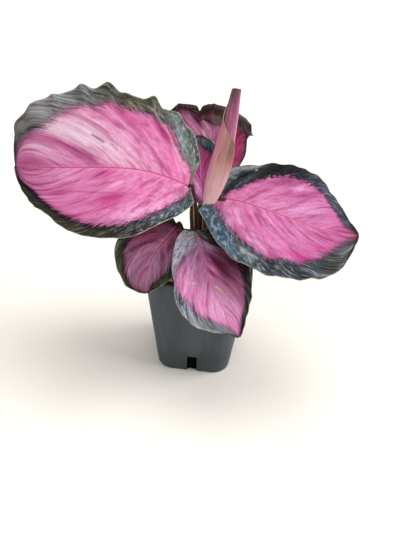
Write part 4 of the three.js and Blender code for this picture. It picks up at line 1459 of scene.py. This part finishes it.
# %% Pot
POT_HEIGHT = 107
POT_BASE_HALF = 33.75
POT_BASE_CORNER = 15
POT_TAPER = 0.106
POT_WALL = 1.3
POT_FLOOR = 2
FOOT_INSET = 0.9
RIM_BAND = 7
RIM_PROUD = 1.1
BAND_FOOT = POT_HEIGHT - RIM_BAND
# Levels of the section: height, and how far the surface is inside the outer wall's line there.
OUTSIDE = [
    (0.5, 0.3), (1.5, 0), (50, 0), (BAND_FOOT - 0.8, 0), (BAND_FOOT, -0.9), (BAND_FOOT + 0.6, -RIM_PROUD),
    (POT_HEIGHT - 0.8, -RIM_PROUD), (POT_HEIGHT - 0.1, -0.7)]
INSIDE = [
    (POT_HEIGHT, 0.3), (POT_HEIGHT - 0.4, 1.1), (POT_HEIGHT - 2, POT_WALL), (50, POT_WALL),
    (POT_FLOOR + 1.2, POT_WALL), (POT_FLOOR + 0.2, 2.0), (POT_FLOOR, 3.2)]


def wall_half(height, inset):
    """Half the pot's width at a height, so far inside the outer wall's line."""
    return POT_BASE_HALF + POT_TAPER * height - inset


print(f"pot: {2 * wall_half(0, 0)} mm wide at the foot and {2 * wall_half(POT_HEIGHT, -RIM_PROUD):.1f} over the band")

# %% Drawing up the pot
def build_pot():
    start_fresh()
    at, half = 0, wall_half(0, FOOT_INSET)
    bpy.ops.mesh.primitive_plane_add(size=2 * half * MM)
    piece = bpy.context.object
    piece.name = piece.data.name = "pot"
    edit_all()
    bpy.ops.mesh.bevel(offset=POT_BASE_CORNER * MM, offset_type="OFFSET", segments=12, affect="VERTICES")
    bpy.ops.mesh.select_all(action="SELECT")
    for height, inset in OUTSIDE + INSIDE:
        bpy.ops.mesh.extrude_region_move(TRANSFORM_OT_translate={"value": (0, 0, (height - at) * MM)})
        factor = wall_half(height, inset) / half
        bpy.ops.transform.resize(value=(factor, factor, 1), center_override=(0, 0, height * MM))
        at, half = height, wall_half(height, inset)
    bpy.ops.mesh.select_all(action="SELECT")
    bpy.ops.mesh.remove_doubles(threshold=1e-7)
    face_outwards()
    return piece

# %% [markdown]
# The notches are cut last, with a block for each side. The block has a slightly arched top, as the
# moulded notch has, and reaches through both the wall and the floor. The edges are then softened, and
# the faces inside the pot or in a notch get a nearly black finish: soil where they touch the mix, and painted shade
# for the dark hollow inside.

# %% Blocks
def add_block(low, high):
    """A block between two opposite corners, in millimetres."""
    start_fresh()
    low, high = Vector(low), Vector(high)
    bpy.ops.mesh.primitive_cube_add(size=1, location=(low + high) / 2 * MM)
    bpy.context.object.scale = (high - low) * MM
    bpy.ops.object.transform_apply(location=True, rotation=True, scale=True)
    return bpy.context.object


def turn_quarters(piece, quarters):
    """Turn a piece about the pot's axis, to another of its four sides."""
    piece.data.transform(Matrix.Rotation(quarters * math.pi / 2, 4, "Z"))

# %% Drain notches
NOTCH_HALF_WIDTH = 4.5
NOTCH_HEIGHT = 20
NOTCH_DEPTH = 9
NOTCH_ROUND = 1.2
BEYOND_WALL = 6
BELOW_FOOT = 2


def round_top(piece):
    """Round the upper edges of a block."""
    bpy.ops.object.mode_set(mode="EDIT")
    bpy.ops.mesh.select_all(action="DESELECT")
    bpy.ops.object.mode_set(mode="OBJECT")
    for face in piece.data.polygons:
        face.select = face.normal.z > 0.9
    bpy.ops.object.mode_set(mode="EDIT")
    bpy.ops.mesh.select_mode(type="FACE")
    bpy.ops.mesh.select_mode(type="EDGE")
    bpy.ops.mesh.bevel(offset=NOTCH_ROUND * MM, segments=4, affect="EDGES")
    bpy.ops.object.mode_set(mode="OBJECT")


def cut_notch(piece, quarter):
    cutter = add_block((-NOTCH_HALF_WIDTH, -POT_BASE_HALF - BEYOND_WALL, -BELOW_FOOT),
                       (NOTCH_HALF_WIDTH, NOTCH_DEPTH - POT_BASE_HALF, NOTCH_HEIGHT))
    round_top(cutter)
    turn_quarters(cutter, quarter)
    cut = piece.modifiers.new("notch", "BOOLEAN")
    cut.operation = "DIFFERENCE"
    cut.object = cutter
    cut.solver = "EXACT"
    start_fresh()
    piece.select_set(True)
    apply_modifiers(piece)
    bpy.data.objects.remove(cutter)


def soften_edges(piece):
    soften = piece.modifiers.new("soften", "BEVEL")
    soften.width = 0.25 * MM
    soften.segments = 2
    soften.limit_method = "ANGLE"
    soften.angle_limit = math.radians(50)
    start_fresh()
    piece.select_set(True)
    apply_modifiers(piece)

# %% Finished pot
SOIL_LINE = 94
FACES_INWARDS = -0.002

pot = build_pot()
for quarter in range(4):
    cut_notch(pot, quarter)
soften_edges(pot)
finish_piece(pot, ["pot"], [pot_finish(), soil_and_shade_finish()], angle=35)
# Faces inside the pot below the mix line, and the notch sides, get the soil and painted shade finish.
soil_and_shade = 0
for face in pot.data.polygons:
    outwards = face.normal.x * face.center.x + face.normal.y * face.center.y
    if outwards < FACES_INWARDS and face.center.z < SOIL_LINE * MM:
        face.material_index = 1
        soil_and_shade += 1
print(f"pot: {soil_and_shade} faces against the mix or in a notch")

# %% [markdown]
# ## Potting mix
#
# The block of potting mix is right as a plain solid, since only its notches show, so the CAD node stays
# and gets a finish. What the eye sees from above is its loose top: dark peat with white perlite and
# bits of bark. That is a bumpy crust with grains pressed into it.

# %% Potting mix finish
def mix_finish():
    f = Finish("potting_mix")
    place = f.place()
    lumps = f.noise(place, 380.0, 4.0, 0.65)
    fibres = f.noise(f.scaled(place, (1.0, 3.0, 1.0)), 700.0, 3.0)
    colour = f.mottled(lumps, 0.35, 0.68, "#1f1510", "#4a3323")
    colour = f.mix(colour, linear("#6d5238"), f.step(fibres, 0.6, 0.75) * 0.6)
    return f.surface(Base_Color=colour, Roughness=0.95, Normal=f.bump(lumps + fibres * 0.5, 0.0012))


def grain_finish(name, dark, pale, rough, shine=0.4):
    f = Finish(name)
    mottle = f.noise(f.place(), 900.0, 3.0)
    colour = f.mottled(mottle, 0.3, 0.7, dark, pale)
    return f.surface(Base_Color=colour, Roughness=rough, Normal=f.bump(mottle, 0.0005), Specular_IOR_Level=shine)


mix_material = mix_finish()
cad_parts["potting_mix"].data.materials.clear()
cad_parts["potting_mix"].data.materials.append(mix_material)
print("the CAD node potting_mix keeps its shape and gets the finish", mix_material.name)

# %% Crust
CRUST_STEPS = 70
CRUST_THICKNESS = 1.4
CRUST_FOOT = SOIL_TOP - 0.6
# Lumps of three sizes: height and reach in millimetres.
LUMPS = [(1.3, 9.0), (0.8, 4.0), (0.5, 1.9)]
LUMPS_OF_A_SIZE = 60


def round_corners(x, y, half, corner):
    """Draw the points of a square grid in to a plan with round corners."""
    square = np.stack([x, y], -1) * half
    inner = np.clip(square, -(half - corner), half - corner)
    beyond = square - inner
    far = np.maximum(np.linalg.norm(beyond, axis=1), 1e-6)
    limit = np.maximum(np.abs(beyond).max(1), 1e-6)
    return inner + beyond * (limit / far)[:, None]


def build_crust():
    """A bumpy lid on the mix, lower at the wall. Returns its points' plan and heights."""
    piece, x, y = add_grid("potting_mix_crust", CRUST_STEPS, CRUST_STEPS)
    half = wall_half(SOIL_TOP, POT_WALL + 0.1)
    plan = round_corners(x, y, half, POT_BASE_CORNER * half / POT_BASE_HALF)
    lumpy = np.zeros(len(x))
    for size, reach in LUMPS:
        for _ in range(LUMPS_OF_A_SIZE):
            middle = random.uniform(-half, half), random.uniform(-half, half)
            lumpy += random.uniform(-0.5, 1.0) * size * bell(np.linalg.norm(plan - middle, axis=1), reach)
    from_wall = np.clip((1.02 - np.maximum(np.abs(x), np.abs(y))) * 8, 0.1, 1)
    height = SOIL_TOP + 0.5 + np.clip(lumpy, -0.3, 3.2) * from_wall
    set_points(piece, np.column_stack([plan, height]))
    edit_all()
    bpy.ops.mesh.extrude_region_move(TRANSFORM_OT_translate={"value": (0, 0, -CRUST_THICKNESS * MM)})
    bpy.ops.transform.resize(value=(1, 1, 0), center_override=(0, 0, CRUST_FOOT * MM))
    face_outwards()
    finish_piece(piece, [], [mix_material])
    return plan, height


random.seed(11)
crust_plan, crust_height = build_crust()

# %% Perlite and bark
TOWARDS_MIDDLE = 0.97
SUNK = 0.4


def join(parts, name):
    """Make one piece of several."""
    start_fresh()
    for part in parts:
        part.select_set(True)
    bpy.context.view_layer.objects.active = parts[0]
    bpy.ops.object.join()
    piece = bpy.context.object
    piece.name = piece.data.name = name
    return piece


def scatter(name, count, size_range, flatness, material):
    """Grains, each made on its own, squashed and turned its own way, then joined in one piece."""
    grains = []
    for _ in range(count):
        spot = random.randrange(len(crust_plan))
        size = random.uniform(*size_range)
        start_fresh()
        bpy.ops.mesh.primitive_ico_sphere_add(subdivisions=2, radius=size * MM)
        grain = bpy.context.object
        for vertex in grain.data.vertices:
            vertex.co *= random.uniform(0.82, 1.12)
        stretch = Matrix.Diagonal((random.uniform(0.8, 1.5), 1, flatness, 1))
        turn = Matrix.Rotation(random.uniform(0, math.tau), 4, "Z")
        tip = Matrix.Rotation(random.uniform(-0.4, 0.4), 4, "X")
        place = Vector((*crust_plan[spot] * TOWARDS_MIDDLE, crust_height[spot] + size * flatness * SUNK)) * MM
        grain.data.transform(Matrix.Translation(place) @ turn @ tip @ stretch)
        grains.append(grain)
    finish_piece(join(grains, name), [], [material], angle=40)


scatter("perlite", 90, (0.7, 1.7), 0.75, grain_finish("perlite", "#b9b4aa", "#f1eee6", 0.85))
scatter("bark_chips", 70, (1.2, 2.8), 0.35, grain_finish("bark", "#2b1b10", "#7a5a3a", 0.9))

# %% [markdown]
# Behind each notch the mix shows nearly black, and its black is painted shade for the dark hollow seen through
# the opening. It has slumped against the opening and stops a few millimetres behind the wall. A block for each side,
# cut fine and roughened, gives that.

# %% Mix in the notches, in painted shade
PLUG_SETBACK = 2.6
PLUG_DEPTH = 8
PLUG_FOOT = 0.3
PLUG_TOP = 18.8
PLUG_HALF_WIDTH = NOTCH_HALF_WIDTH - 0.1
PLUG_ROUGHNESS = 0.5


def build_shaded_mix_plugs():
    draw = random.Random(5)
    front = POT_BASE_HALF - PLUG_SETBACK
    blocks = []
    for quarter in range(4):
        block = add_block((-PLUG_HALF_WIDTH, -front, PLUG_FOOT), (PLUG_HALF_WIDTH, PLUG_DEPTH - front, PLUG_TOP))
        edit_all()
        bpy.ops.mesh.subdivide(number_cuts=7)
        bpy.ops.object.mode_set(mode="OBJECT")
        for vertex in block.data.vertices:
            vertex.co.y += draw.uniform(-PLUG_ROUGHNESS, PLUG_ROUGHNESS) * MM
        turn_quarters(block, quarter)
        blocks.append(block)
    # Nearly black and without shine: painted shade.
    finish = grain_finish("shaded_mix_plugs", "#020202", "#0d0a08", 0.9, 0.05)
    finish_piece(join(blocks, "shaded_mix_plugs"), [], [finish])


build_shaded_mix_plugs()
